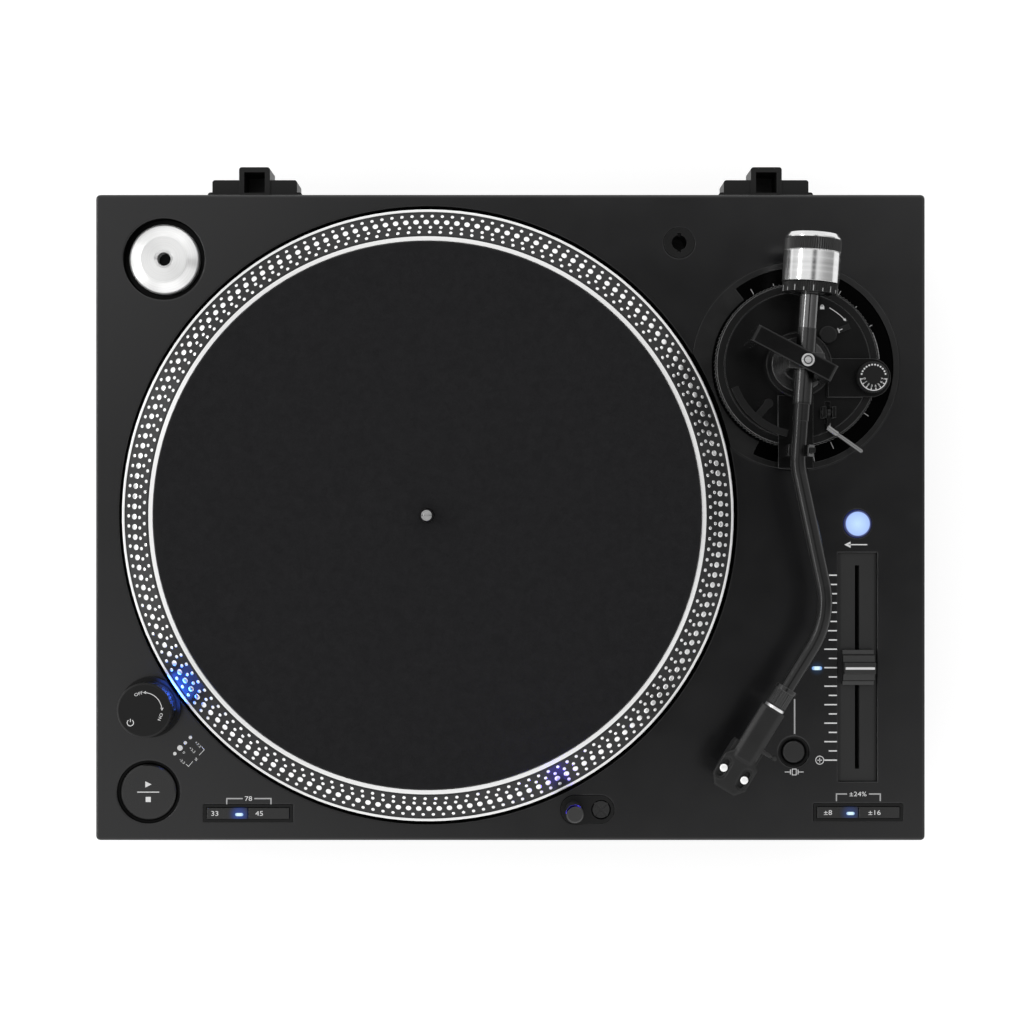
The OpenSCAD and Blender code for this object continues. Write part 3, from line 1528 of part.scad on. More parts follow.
// Arm rest: a cradle open to the left, and its clip hinged on the tall right prong
cradle_r = tube_d / 2 + free_gap;
clip_axis = [rest_right - 1.4, tube_d / 2 + 2.4];
clip_len = tube_d + 2.4;
clip_w = 1.6;
clip_pin_d = 1.4;
rest_foot_half = 3.3;
rest_flare = 12;

module rest_frame() {
    at(pivot_at, arm_rise) rotate([0, 0, arm_park]) along(rest_run - rest_t / 2)
        children();
}

module arm_rest() {
    drop = arm_rise - rest_foot_top;
    top = clip_axis[1] + clip_w;
    color(black_plastic) rest_frame() difference() {
        linear_extrude(rest_t) difference() {
            polygon([[-rest_foot_half, -drop], [rest_foot_half, -drop],
                [rest_foot_half, -drop + rest_flare], [rest_right, -tube_d], [rest_right, top],
                [cradle_r, top], [cradle_r, 0], [-rest_left, 0], [-rest_left, -tube_d],
                [-rest_foot_half, -drop + rest_flare]]);
            circle(r = cradle_r);
            translate([-rest_left - 1, -cradle_r]) square([rest_left + 1, tube_d]);
        }
        translate([cradle_r - 1, clip_axis[1] - clip_w - 0.4, rest_t / 2 - clip_w])
            cube([rest_right, 3 * clip_w, 2 * clip_w]);
        translate([clip_axis[0], clip_axis[1], -1])
            cylinder(d = clip_pin_d + 2 * run_gap, h = rest_t + 2);
    }
}

module arm_clip() {
    depth = 2 * clip_w - 2 * free_gap;
    color(black_plastic) rest_frame() translate([clip_axis[0], clip_axis[1], 0]) {
        translate([0, 0, free_gap]) cylinder(d = clip_pin_d, h = rest_t - 2 * free_gap);
        translate([0, 0, (rest_t - depth) / 2]) linear_extrude(depth) {
            circle(d = clip_w + 0.8);
            translate([-clip_w / 2, 0]) square([clip_w, clip_len]);
            translate([-clip_w - 0.2, clip_len - clip_w]) square([clip_w, clip_w]);
        }
    }
}

// Cueing lever on its lugs, and the curved lift that it raises under the arm
lift_post_d = 5;
function heading(a) = [sin(a), -cos(a)];
function lift_post_at() = lift_post_r * heading(lift_post_heading);

module cue_lever() {
    blade_w = 1.9;
    color(black_paint) at(pivot_at) translate([cue_at[0], cue_at[1], cue_axis]) {
        rotate([0, 90, 0]) cylinder(d = trunnion_d, h = 6.8, center = true);
        rotate([0, 90, 0]) cylinder(d = 4.6, h = blade_w, center = true);
        translate([-blade_w / 2, -cue_bend, -1.2]) cube([blade_w, cue_bend, 2.6]);
        translate([0, -cue_bend, 0.1]) rotate([0, 0, cue_heading]) rotate([0, 90, 0]) {
            translate([0, 0, -0.6]) cylinder(d = cue_d + 1.2, h = cue_root);
            turned(cue_d, cue_len - 0.6, 0.5);
        }
    }
}

module lift_platform() {
    from = lift_heading[1] - 90;
    turn = lift_heading[0] - lift_heading[1];
    link_top = lift_top - 2.6 + eps;
    color(black_plastic) at(pivot_at) {
        rotate([0, 0, from]) rotate_extrude(angle = turn)
            translate([lift_r - lift_w / 2, lift_top - 2.6]) square([lift_w, 2.6]);
        plan(lift_post_at(), platform_under)
            cylinder(d = lift_post_d, h = link_top - platform_under - eps);
        rotate([0, 0, lift_post_heading]) translate([-2, -lift_r, link_top - 2.4])
            cube([4, lift_r - lift_post_r, 2.4]);
    }
}

// Anti-skate dial and height lock, each on a pin in the platform
dial_pin_d = 4;

module anti_skate_dial() {
    color(black_plastic) at(pivot_at) plan(skate_at, skate_top + free_gap) {
        linear_extrude(skate_h - 1) knurl(skate_d, 0.4, 48);
        translate([0, 0, skate_h - 1 - eps]) turned(skate_d - 1.2, 1, 0.4);
        translate([0, 0, -5]) cylinder(d = dial_pin_d, h = 5 + eps);
    }
}

module height_lock() {
    color(black_plastic) at(pivot_at) plan(lock_at, platform_top + free_gap) {
        turned(9.6, 3.4, 0.6);
        rotate([0, 0, lock_lever[1]]) translate([0, -1.5, 0.7]) cube([lock_lever[0], 3, 1.6]);
        translate([0, 0, -5.6]) cylinder(d = dial_pin_d, h = 5.6 + eps);
    }
}

deck();
base_pan();
base_screws();
hinge_socket_left();
hinge_socket_right();
foot_front_left();
foot_front_right();
foot_rear_left();
foot_rear_right();
platter();
slipmat();
spindle();
rotor();
motor_stator();
spindle_bearing();
main_board();
power_transformer();
switch_boards();
button_frames();
jack_panel();
power_inlet();
adaptor_45();
start_stop_button();
strobe_tower();
strobe_lens();
power_knob();
button_33();
button_45();
button_range_low();
button_range_high();
quartz_button();
reverse_button();
pitch_panel();
pitch_fader();
pitch_knob();
lamp_bezel();
target_lamp();
target_button();
headshell_holder();
arm_base();
height_ring();
arm_platform();
pivot_housing();
pivot_bridge();
pivot_screw();
gimbal();
arm_tube();
rear_stub();
counterweight();
force_dial();
locking_collar();
headshell();
cartridge();
stylus();
arm_rest();
arm_clip();
cue_lever();
lift_platform();
anti_skate_dial();
height_lock();
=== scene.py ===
import json
import math

import bmesh
import bpy
import numpy as np
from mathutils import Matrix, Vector


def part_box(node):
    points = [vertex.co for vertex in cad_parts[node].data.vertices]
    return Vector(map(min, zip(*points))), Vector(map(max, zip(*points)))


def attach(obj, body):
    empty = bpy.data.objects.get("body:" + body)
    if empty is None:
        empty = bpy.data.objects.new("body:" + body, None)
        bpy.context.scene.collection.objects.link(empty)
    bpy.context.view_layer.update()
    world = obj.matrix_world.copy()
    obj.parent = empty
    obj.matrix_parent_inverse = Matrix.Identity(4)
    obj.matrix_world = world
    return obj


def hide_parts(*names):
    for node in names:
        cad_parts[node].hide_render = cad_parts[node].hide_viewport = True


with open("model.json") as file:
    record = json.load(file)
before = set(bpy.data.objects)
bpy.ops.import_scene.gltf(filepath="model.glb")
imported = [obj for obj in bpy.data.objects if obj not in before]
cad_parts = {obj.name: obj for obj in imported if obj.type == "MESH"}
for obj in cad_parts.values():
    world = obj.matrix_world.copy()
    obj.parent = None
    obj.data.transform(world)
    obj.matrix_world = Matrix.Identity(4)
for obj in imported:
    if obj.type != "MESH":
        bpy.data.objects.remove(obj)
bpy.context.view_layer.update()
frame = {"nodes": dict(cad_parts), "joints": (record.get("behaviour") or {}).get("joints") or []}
parts = frame["nodes"]
scene = bpy.context.scene
scene.view_settings.view_transform = "Standard"
mm = 0.001

jointAt = {j["name"]: np.array(j["pos_m"]) for j in frame["joints"]}
jointAxis = {j["name"]: np.array(j["axis"], float) for j in frame["joints"]}
spindleAt = jointAt["platter_spin"]
pivotAt = jointAt["arm_swing"]
deckTop = spindleAt[2]
armLine = np.array([pivotAt[0], pivotAt[1], deckTop + 38 * mm])  # where the arm's axis meets its pivot
armAxis = jointAxis["clip_close"]  # forward along the arm
shellAt, shellAxis = jointAt["headshell_pull"], jointAxis["headshell_pull"]
deckLow, deckHigh = (np.array(corner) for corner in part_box("deck"))
deckMid, deckHalf = (deckLow + deckHigh) / 2, (deckHigh - deckLow) / 2


def onDeck(x, y, z=0.0):  # millimetres from the middle of the deck's top
    return np.array([deckMid[0] + x * mm, deckMid[1] + y * mm, deckTop + z * mm])


def onTop(node, x=0.0, y=0.0):  # millimetres from the middle of a node's top
    low, high = (np.array(corner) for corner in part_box(node))
    return np.array([(low[0] + high[0]) / 2 + x * mm, (low[1] + high[1]) / 2 + y * mm, high[2]])


def roundPivot(radius, angle, z):  # millimetres and degrees about the arm's pivot, above the deck's top
    return ringPoint(np.array([pivotAt[0], pivotAt[1], deckTop + z * mm]), radius * mm, angle)


def onShell(run, across, z):  # millimetres along, across and above the headshell's axis
    aside = np.array([-shellAxis[1], shellAxis[0], 0])
    return shellAt + shellAxis * run * mm + aside * across * mm + np.array([0, 0, z * mm])


print("frame loaded:", len(parts), "nodes")


# shapes

def gridFaces(rows, cols, closed=False):
    # quads between neighbours in a grid of points, the last column joined to the first, and the last row if closed
    i, j = np.meshgrid(np.arange(rows if closed else rows - 1), np.arange(cols), indexing="ij")
    nextRow, nextCol = (i + 1) % rows, (j + 1) % cols
    quads = [i * cols + j, i * cols + nextCol, nextRow * cols + nextCol, nextRow * cols + j]
    return np.stack(quads, -1).reshape(-1, 4)


def joined(shapes):
    # points one list after the other, each face's numbers moved on by the points before it
    points, faces, start = [], [], 0
    for shapePoints, shapeFaces in shapes:
        points.append(np.asarray(shapePoints, float))
        faces += [tuple(int(v) + start for v in face) for face in shapeFaces]
        start += len(shapePoints)
    return np.concatenate(points), faces


def addPiece(name, shape, finish, body, smooth=False):
    points, faces = shape
    mesh = bpy.data.meshes.new(name)
    mesh.from_pydata(np.asarray(points, float).tolist(), [], [tuple(map(int, face)) for face in faces])
    work = bmesh.new()
    work.from_mesh(mesh)
    bmesh.ops.remove_doubles(work, verts=work.verts, dist=2e-7)  # closes the seams and poles
    bmesh.ops.recalc_face_normals(work, faces=work.faces)
    work.to_mesh(mesh)
    work.free()
    if smooth:
        mesh.shade_smooth()
        mesh.set_sharp_from_angle(angle=math.radians(35))
    mesh.materials.append(finish)
    piece = bpy.data.objects.new(name, mesh)
    scene.collection.objects.link(piece)
    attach(piece, body)
    return piece


def printMarks(name, shapes, finish, body):
    addPiece(name, joined(shapes), finish, body)


ink = dict(rise=0.05 * mm, sink=0.02 * mm, wide=1.2)


def stroke(path, width, closed=False):
    # a flat rectangle, as wide as the line and as high as the ink, carried along the path with mitred corners
    path = np.asarray(path, float)
    step = np.roll(path, -1, 0) - path
    if not closed:
        step[-1] = step[-2]
    step /= np.linalg.norm(step, axis=1)[:, None]
    before = np.roll(step, 1, 0)
    if not closed:
        before[0] = step[0]
    side = np.stack([-step[:, 1] - before[:, 1], step[:, 0] + before[:, 0], np.zeros(len(path))], -1)
    side /= np.linalg.norm(side, axis=1)[:, None]
    square = np.stack([-step[:, 1], step[:, 0]], -1)
    side /= np.maximum((side[:, :2] * square).sum(1), 0.3)[:, None]
    side *= width / 2
    low, high = np.array([0, 0, -ink["sink"]]), np.array([0, 0, ink["rise"]])
    ring = np.stack([path - side + low, path + side + low, path + side + high, path - side + high], 1)
    faces = gridFaces(len(path), 4, closed).tolist()
    last = 4 * (len(path) - 1)
    ends = [] if closed else [(0, 1, 2, 3), (last, last + 3, last + 2, last + 1)]
    return ring.reshape(-1, 3), faces + ends


def plate(outline):
    # the outline twice, under and over the ink's height, with a wall between and a face at each end
    outline = np.asarray(outline, float)
    n = len(outline)
    low, high = outline - [0, 0, ink["sink"]], outline + [0, 0, ink["rise"]]
    walls = gridFaces(2, n).tolist()
    return np.concatenate([low, high]), walls + [tuple(range(n)), tuple(range(n, 2 * n))]


def arc(centre, radius, start, end, count=24):
    # points at one radius from start to end, in degrees
    t = np.radians(np.linspace(start, end, count))
    return centre + radius * np.stack([np.cos(t), np.sin(t), 0 * t], -1)


def ringPoint(centre, radius, angle):
    return arc(centre, radius, angle, angle, 1)[0]


def dot(centre, radius, count=20):
    return plate(arc(centre, radius, 0, 360 * (1 - 1 / count), count))


def arrowHead(tip, heading, size):
    # triangle with its point at the tip
    back, aside = ringPoint(tip, -size, heading), ringPoint(np.zeros(3), size / 2, heading + 90)
    return plate([tip, back + aside, back - aside])


def letters(words, height, at, turn=0.0):
    # filled outlines of the letters, scaled to their height and widened, turned about their middle, set at a point
    curve = bpy.data.curves.new("letters", "FONT")
    curve.body, curve.extrude, curve.resolution_u = words, 0.5, 3
    holder = bpy.data.objects.new("letters", curve)
    scene.collection.objects.link(holder)
    mesh = bpy.data.meshes.new_from_object(holder.evaluated_get(bpy.context.evaluated_depsgraph_get()))
    points = np.empty(len(mesh.vertices) * 3)
    mesh.vertices.foreach_get("co", points)
    points = points.reshape(-1, 3)
    faces = [tuple(face.vertices) for face in mesh.polygons]
    bpy.data.objects.remove(holder)
    bpy.data.curves.remove(curve)
    bpy.data.meshes.remove(mesh)
    low, high = points.min(0), points.max(0)
    flat = (points[:, :2] - (low + high)[:2] / 2) * height / (high[1] - low[1]) * [ink["wide"], 1]
    t = math.radians(turn)
    x = flat[:, 0] * math.cos(t) - flat[:, 1] * math.sin(t)
    y = flat[:, 0] * math.sin(t) + flat[:, 1] * math.cos(t)
    z = np.where(points[:, 2] > 0, ink["rise"], -ink["sink"])
    return np.stack([x, y, z], -1) + at, faces


def revolve(profile, at, axis, count, closed=True):
    # a profile of radius and height, turned about an axis through a point
    profile = np.asarray(profile, float)
    axis = np.asarray(axis, float) / np.linalg.norm(axis)
    first = np.cross(axis, [0, 0, 1] if abs(axis[2]) < 0.9 else [1, 0, 0])
    first /= np.linalg.norm(first)
    second = np.cross(axis, first)
    t = np.linspace(0, 2 * np.pi, count, endpoint=False)
    spoke = np.cos(t)[:, None] * first + np.sin(t)[:, None] * second
    points = at + profile[:, None, :1] * spoke + profile[:, None, 1:] * axis
    return points.reshape(-1, 3), gridFaces(len(profile), count, closed)


# shader groups

def plug(tree, node, plugs):  # fills or links a node's inputs
    for key, value in plugs.items():
        if isinstance(value, bpy.types.NodeSocket):
            tree.links.new(value, node.inputs[key])
        else:
            node.inputs[key].default_value = value


def wire(tree, kind, plugs=None, **settings):  # adds a node
    made = tree.nodes.new("ShaderNode" + kind)
    for key, value in settings.items():
        setattr(made, key, value)
    plug(tree, made, plugs or {})
    return made


def newGroup(name, inputs, outputs):
    group = bpy.data.node_groups.new(name, "ShaderNodeTree")
    for socket, kind, value in inputs:
        made = group.interface.new_socket(name=socket, in_out="INPUT", socket_type="NodeSocket" + kind)
        if value is not None:
            made.default_value = value
    for socket, kind in outputs:
        group.interface.new_socket(name=socket, in_out="OUTPUT", socket_type="NodeSocket" + kind)
    return group, group.nodes.new("NodeGroupInput").outputs, group.nodes.new("NodeGroupOutput")


def calc(tree, operation, a, b=0.0, clamp=False):
    return wire(tree, "Math", {0: a, 1: b}, operation=operation, use_clamp=clamp).outputs[0]


def times(tree, a, b):
    return calc(tree, "MULTIPLY", a, b)


def vector(tree, operation, a, b=(0, 0, 0), out="Vector"):
    return wire(tree, "VectorMath", {0: a, 1: b}, operation=operation).outputs[out]


def ramp(tree, value, low, high, first=0.0, last=1.0, kind="SMOOTHSTEP"):
    return wire(tree, "MapRange", {0: value, 1: low, 2: high, 3: first, 4: last}, interpolation_type=kind).outputs[0]


def fromPoint(tree, where, at):
    return vector(tree, "SUBTRACT", where, tuple(at))


def tinted(tree, colour, factor):  # a colour times a value
    return wire(tree, "VectorMath", {0: colour, "Scale": factor}, operation="SCALE").outputs[0]


def makeGrain():
    # fine noise gives the height, fine and broad noise together the shade, broad noise the gloss
    group, take, give = newGroup(
        "surfaceGrain",
        [("Vector", "Vector", None), ("Scale", "Float", 900.0), ("Spread", "Float", 0.2)],
        [("Shade", "Float"), ("Gloss", "Float"), ("Height", "Float")])
    fine = wire(group, "TexNoise", {"Vector": take["Vector"], "Scale": take["Scale"], "Detail": 3.0}).outputs["Fac"]
    broadScale = times(group, take["Scale"], 0.03)
    broad = wire(group, "TexNoise", {"Vector": take["Vector"], "Scale": broadScale, "Detail": 3.0}).outputs["Fac"]
    both = calc(group, "SUBTRACT", calc(group, "ADD", fine, broad), 1.0)
    shade = calc(group, "ADD", times(group, both, take["Spread"]), 1.0)
    plug(group, give, {"Shade": shade, "Gloss": calc(group, "SUBTRACT", broad, 0.5), "Height": fine})
    return group


def makeEdge():
    # where a rounded copy of the normal leans away from the true one, the surface is an edge
    group, take, give = newGroup(
        "softEdge", [("Width", "Float", 0.0004), ("Strength", "Float", 3.0)],
        [("Edge", "Float"), ("Normal", "Vector")])
    rounded = wire(group, "Bevel", {"Radius": take["Width"]}, samples=6).outputs["Normal"]
    true = wire(group, "NewGeometry").outputs["Normal"]
    lean = vector(group, "DOT_PRODUCT", rounded, true, "Value")
    edge = calc(group, "MULTIPLY", calc(group, "SUBTRACT", 1.0, lean), take["Strength"], clamp=True)
    plug(group, give, {"Edge": edge, "Normal": rounded})
    return group


def makeTurned():
    # noise along one line, read at the distance from the axis plus the height, so it runs round like tool marks
    group, take, give = newGroup(
        "turnedMarks", [("Vector", "Vector", None), ("Scale", "Float", 2500.0)],
        [("Marks", "Float"), ("Radius", "Float"), ("Along", "Float")])
    apart = wire(group, "SeparateXYZ", {0: take["Vector"]}).outputs
    flat = wire(group, "CombineXYZ", {0: apart[0], 1: apart[1]}).outputs[0]
    radius = vector(group, "LENGTH", flat, out="Value")
    place = times(group, calc(group, "ADD", radius, apart[2]), take["Scale"])
    marks = wire(group, "TexNoise", {"W": place, "Scale": 1.0, "Detail": 4.0}, noise_dimensions="1D")
    plug(group, give, {"Marks": marks.outputs["Fac"], "Radius": radius, "Along": apart[2]})
    return group


grainGroup, edgeGroup, turnedGroup = makeGrain(), makeEdge(), makeTurned()


def useGroup(tree, group, plugs):
    return wire(tree, "Group", plugs, node_tree=group).outputs


def newFinish(name, **sockets):
    finish = bpy.data.materials.new(name)
    finish.use_nodes = True
    tree = finish.node_tree
    shader = tree.nodes["Principled BSDF"]
    plug(tree, shader, sockets)
    return finish, tree, shader


def mixColour(tree, mask, first, second):
    return wire(tree, "Mix", {0: mask, 6: first, 7: second}, data_type="RGBA").outputs[2]


def mixValue(tree, mask, first, second):
    return wire(tree, "Mix", {0: mask, 2: first, 3: second}, data_type="FLOAT").outputs[0]


def between(tree, value, low, high):  # 1 where low < value < high
    return times(tree, calc(tree, "GREATER_THAN", value, low), calc(tree, "LESS_THAN", value, high))


def rgb(r, g=None, b=None):
    return (r, r if g is None else g, r if b is None else b, 1.0)


def coated(name, colour, rough, scale=900, spread=0.2, bump=0.03, edge=0.0003, wear=2.0, worn=0.06,
           metallic=0.0, glossShift=0.15, rimAt=None, extra=None, **sockets):
    # plain coat: grain shades the colour, lifts the surface, and edges are rounded and painted lighter as a highlight
    finish, tree, shader = newFinish(name, **{"Metallic": metallic, **sockets})
    where = wire(tree, "TexCoord").outputs["Object"]
    grain = useGroup(tree, grainGroup, {"Vector": where, "Scale": scale, "Spread": spread})
    rim = useGroup(tree, edgeGroup, {"Width": edge, "Strength": wear})
    shaded = tinted(tree, colour[:3], grain["Shade"])
    lightEdge = times(tree, rim["Edge"], rimAt(tree, where)) if rimAt else rim["Edge"]
    # the lighter edges are a painted highlight, only where rimAt allows
    tone = mixColour(tree, lightEdge, shaded, rgb(worn))
    if extra:
        tone = extra(tree, shader, where, tone)
    gloss = calc(tree, "ADD", times(tree, grain["Gloss"], glossShift), rough)
    lifted = wire(tree, "Bump", {"Height": grain["Height"], "Normal": rim["Normal"], "Strength": bump,
                                 "Distance": 0.0002}).outputs[0]
    plug(tree, shader, {"Base Color": tone, "Roughness": gloss, "Normal": lifted})
    return finish


def centred(tree, where, at, axis):  # moves the axis through a point onto Z
    axis = np.asarray(axis, float) / np.linalg.norm(axis)
    moved = fromPoint(tree, where, at)
    if abs(axis[2]) > 0.999:
        return moved
    tilt = math.acos(np.clip(axis[2], -1, 1))
    heading = math.atan2(axis[1], axis[0])
    turned = wire(tree, "VectorRotate", {"Vector": moved, "Rotation": (0, 0, -heading)}, rotation_type="EULER_XYZ")
    return wire(tree, "VectorRotate", {"Vector": turned.outputs[0], "Rotation": (0, -tilt, 0)},
                rotation_type="EULER_XYZ").outputs[0]


def inHeight(low, high):  # millimetres above the deck's top
    return lambda tree, where: between(tree, wire(tree, "SeparateXYZ", {0: where}).outputs[2],
                                       deckTop + low * mm, deckTop + high * mm)


def inRadius(at, low, high):  # distance from the upright line through a point
    def mask(tree, where):
        moved = fromPoint(tree, where, at)
        flat = vector(tree, "MULTIPLY", moved, (1, 1, 0))
        return between(tree, vector(tree, "LENGTH", flat, out="Value"), low * mm, high * mm)
    return mask


def inRun(at, axis, low, high):  # distance along an axis from a point
    def mask(tree, where):
        moved = fromPoint(tree, where, at)
        run = vector(tree, "DOT_PRODUCT", moved, tuple(axis), "Value")
        return between(tree, run, low * mm, high * mm)
    return mask


def bothOf(first, second):
    return lambda tree, where: times(tree, first(tree, where), second(tree, where))


def zoned(*zones):  # paints each zone over the coat, as metal where it says so
    def paint(tree, shader, where, tone):
        metal = None
        for mask, colour, isMetal in zones:
            here = mask(tree, where)
            tone = mixColour(tree, here, tone, colour)
            if isMetal:
                metal = here if metal is None else calc(tree, "MAXIMUM", metal, here)
        if metal is not None:
            plug(tree, shader, {"Metallic": metal})
        return tone
    return paint


def layered(first, second):  # one effect after the other
    return lambda tree, shader, where, tone: second(tree, shader, where, first(tree, shader, where, tone))


def haloed(lamp):  # light of a small lamp on the face that carries it, falling smoothly to none
    def glow(tree, shader, where, tone):
        away = vector(tree, "DISTANCE", where, tuple(lamp["at"]), "Value")
        fall = ramp(tree, away, 0.0, lamp["reach"] * mm, 1.0, 0.0, "SMOOTHERSTEP")
        plug(tree, shader, {"Emission Color": tinted(tree, lamp["halo"][:3], fall), "Emission Strength": 1.0})
        return tone
    return glow


print("shader groups built")


# finishes

lamps = {  # light thrown on the face around, body that carries the lamp, and its size in millimetres
    "pitch": dict(at=onDeck(167.1, -82.15), reach=5.0, halo=rgb(0.005, 0.024, 0.062), body="chassis",
                  size=(5.6, 2.0, 0.5)),
    "speed": dict(at=onTop("button_33", 6.6, -0.6), reach=7.0, halo=rgb(0.005, 0.036, 0.23), body="speed_33_key",
                  size=(4.5, 1.7, 0.4)),
    "range": dict(at=onTop("button_range_low", 7.0, -0.5), reach=7.0, halo=rgb(0.005, 0.024, 0.115),
                  body="range_low_key", size=(4.5, 1.7, 0.4)),
}
deckZone = dict(rim=2 * mm, wells=(-30, -0.9), quartzMoat=(7.2, 9.0))  # wells and moat in millimetres


def deckRim(tree, where):  # 1 beside the deck's outline, the only deck edges painted with a highlight
    away = vector(tree, "ABSOLUTE", fromPoint(tree, where, deckMid))
    size = wire(tree, "SeparateXYZ", {0: away}).outputs
    return calc(tree, "MAXIMUM", *(calc(tree, "GREATER_THAN", size[i], deckHalf[i] - deckZone["rim"]) for i in (0, 1)))


def deckRecess(tree, where):  # 1 in the wells and gaps below the deck's top, not on its sides, where the deck is painted darker as shade
    return times(tree, inHeight(*deckZone["wells"])(tree, where), calc(tree, "SUBTRACT", 1.0, deckRim(tree, where)))


quartzMoat = bothOf(inRadius(onTop("quartz_button"), *deckZone["quartzMoat"]), deckRecess)
# deck: wells and gaps painted darker as shade, as near-black metal that mirrors little; the quartz button's moat a
# lighter grey; the pitch lamp's light around it; the outline's edges painted lighter as a highlight
deckPaint = coated("satinPaint", rgb(0.0033, 0.0033, 0.0036), 0.2, scale=1500, spread=0.25, bump=0.02, edge=0.0012,
                   wear=4.0, worn=0.12, glossShift=0.08, rimAt=deckRim,
                   extra=layered(zoned((deckRecess, rgb(0.007), True), (quartzMoat, rgb(0.02), False)),
                                 haloed(lamps["pitch"])))
basePlastic = coated("baseGrain", rgb(0.010), 0.6, scale=700, spread=0.3, bump=0.25, edge=0.0006, worn=0.03)
dull, soft = {"Specular IOR Level": 0.22}, {"Specular IOR Level": 0.35}  # paints that mirror less
moulded = coated("mouldedBlack", rgb(0.004), 0.34, scale=1100, spread=0.25, bump=0.1, worn=0.035, **dull)
socketPlastic = coated("socketPlastic", rgb(0.006), 0.42, scale=1000, spread=0.25, bump=0.08, worn=0.04, **dull)
panelMid = onTop("pitch_panel")
# the panel's bevelled left and right strips are painted darker as shade, the right one darker still
panelPlastic = coated("panelPlastic", rgb(0.0105), 0.4, scale=1300, bump=0.06, worn=0.03,
                      extra=zoned((inRun(panelMid, (1, 0, 0), -12, -8.9), rgb(0.004), False),
                                  (inRun(panelMid, (1, 0, 0), 9.1, 12), rgb(0.002), False)), **soft)
knobPlastic = coated("knobPlastic", rgb(0.008), 0.36, scale=1300, bump=0.05, worn=0.05)
faderBlack = coated("faderBlack", rgb(0.003), 0.6, bump=0.05, worn=0.01)
key = dict(colour=rgb(0.007), rough=0.28, scale=1600, bump=0.02, worn=0.04)
keyCap = coated("keyCap", **key)
keySpeed = coated("keySpeed", extra=haloed(lamps["speed"]), **key)
keyRange = coated("keyRange", extra=haloed(lamps["range"]), **key)
keyFrame = coated("keyFrame", rgb(0.0012), 0.5, scale=1400, worn=0.02, **dull)
footRubber = coated("footRubber", rgb(0.014, 0.0135, 0.013), 0.78, scale=600, spread=0.35, bump=0.3, worn=0.03)
gloss = dict(rough=0.22, scale=2200, spread=0.25, edge=0.0004, wear=2.5)
baseGloss = coated("baseGloss", rgb(0.003), worn=0.05, extra=zoned((inHeight(-8, -0.6), rgb(0.003), True)), **gloss)
platformGloss = coated("platformGloss", rgb(0.002), worn=0.14, **gloss, **dull)
bridgeGloss = coated("bridgeGloss", rgb(0.003), worn=0.05, **{**gloss, "edge": 0.0014, "rough": 0.2}, **dull)
housingGloss = coated("housingGloss", rgb(0.003),
                      extra=zoned((inRadius(pivotAt, 0, 14.45), rgb(0.15), True)), **gloss)
tubeGloss = coated("tubeGloss", rgb(0.005), worn=0.03,
                   extra=zoned((inRun(pivotAt, armAxis, -22, 21.5), rgb(0.06), True)), **gloss, **soft)
collarGloss = coated("collarGloss", rgb(0.004), worn=0.10, **gloss)
shellGloss = coated("shellGloss", rgb(0.007), worn=0.02,
                    extra=zoned((inRun(shellAt, shellAxis, 11.6, 13.1), rgb(0.75), True)),
                    **{**gloss, "edge": 0.002, "wear": 0.5, "rough": 0.32}, **soft)
# the prong tops are painted lighter as a highlight
restGloss = coated("restGloss", rgb(0.007), worn=0.10, extra=zoned((inHeight(37.4, 60), rgb(0.10), False)), **gloss)
liftPlastic = coated("liftPlastic", rgb(0.002), 0.34, scale=1100, spread=0.25, bump=0.06, worn=0.05, **dull)
ringCoat = coated("ringCoat", rgb(0.002), 0.3, scale=1800, bump=0.04, edge=0.0004, wear=5.0, worn=0.24, **dull)
dialCoat = coated("dialCoat", rgb(0.004), 0.36, scale=1800, bump=0.04, wear=2.5, worn=0.05, **dull)
plainSteel = coated("plainSteel", rgb(0.55), 0.32, scale=1200, spread=0.15, bump=0.04, worn=0.7, metallic=1.0)
screwSteel = coated("screwSteel", rgb(0.92), 0.45, scale=1800, spread=0.08, worn=0.95, metallic=1.0)
pivotSteel = coated("pivotSteel", rgb(0.55), 0.34, scale=1800, spread=0.1, worn=0.9, metallic=1.0,
                    extra=zoned((inRadius(pivotAt, 1.7, 2.35), rgb(0.05), False)))
stubChrome = coated("stubChrome", rgb(0.15), 0.14, scale=1500, spread=0.12, bump=0.02, worn=0.3, metallic=1.0)
gimbalMetal = coated("gimbalMetal", rgb(0.07), 0.26, scale=1500, spread=0.12, bump=0.02, worn=0.2, metallic=1.0)
cueAt = jointAt["cue_turn"]
cueBend = cueAt - [0, 8.4 * mm, 0]  # where the lever turns off to the right
# the blade down in the slot is painted dark as shade; the root past the bend is a lighter grey, not metal
leverMetal = coated("leverMetal", rgb(0.20), 0.22, scale=1800, bump=0.04, worn=0.4, metallic=1.0,
                    extra=zoned((inRun(cueAt, (0, -1, 0), -9, 7.6), rgb(0.02), False),
                                (inRun(cueBend, (0.812, -0.5835, 0), -0.8, 5.9), rgb(0.25), False)))
boardGreen = coated("boardGreen", rgb(0.012, 0.075, 0.03), 0.4, scale=500, spread=0.3, bump=0.1, worn=0.1)
copperWire = coated("copperWire", rgb(0.62, 0.28, 0.13), 0.3, spread=0.3, bump=0.1, worn=0.6, metallic=1.0)
whiteInk = coated("whiteInk", rgb(0.6), 0.5, scale=3000, spread=0.1, bump=0.0, edge=0.00002, worn=0.65)
greyInk = coated("greyInk", rgb(0.32), 0.5, scale=3000, spread=0.1, bump=0.0, edge=0.00002, worn=0.35)
plugMetal = coated("plugMetal", rgb(0.72, 0.62, 0.40), 0.22, scale=1500, spread=0.1, bump=0.02, worn=0.8,
                   metallic=1.0)
plugRed = coated("plugRed", rgb(0.35, 0.012, 0.012), 0.4, scale=1200, worn=0.3)
plugWhite = coated("plugWhite", rgb(0.62), 0.4, scale=1200, spread=0.1, worn=0.7)


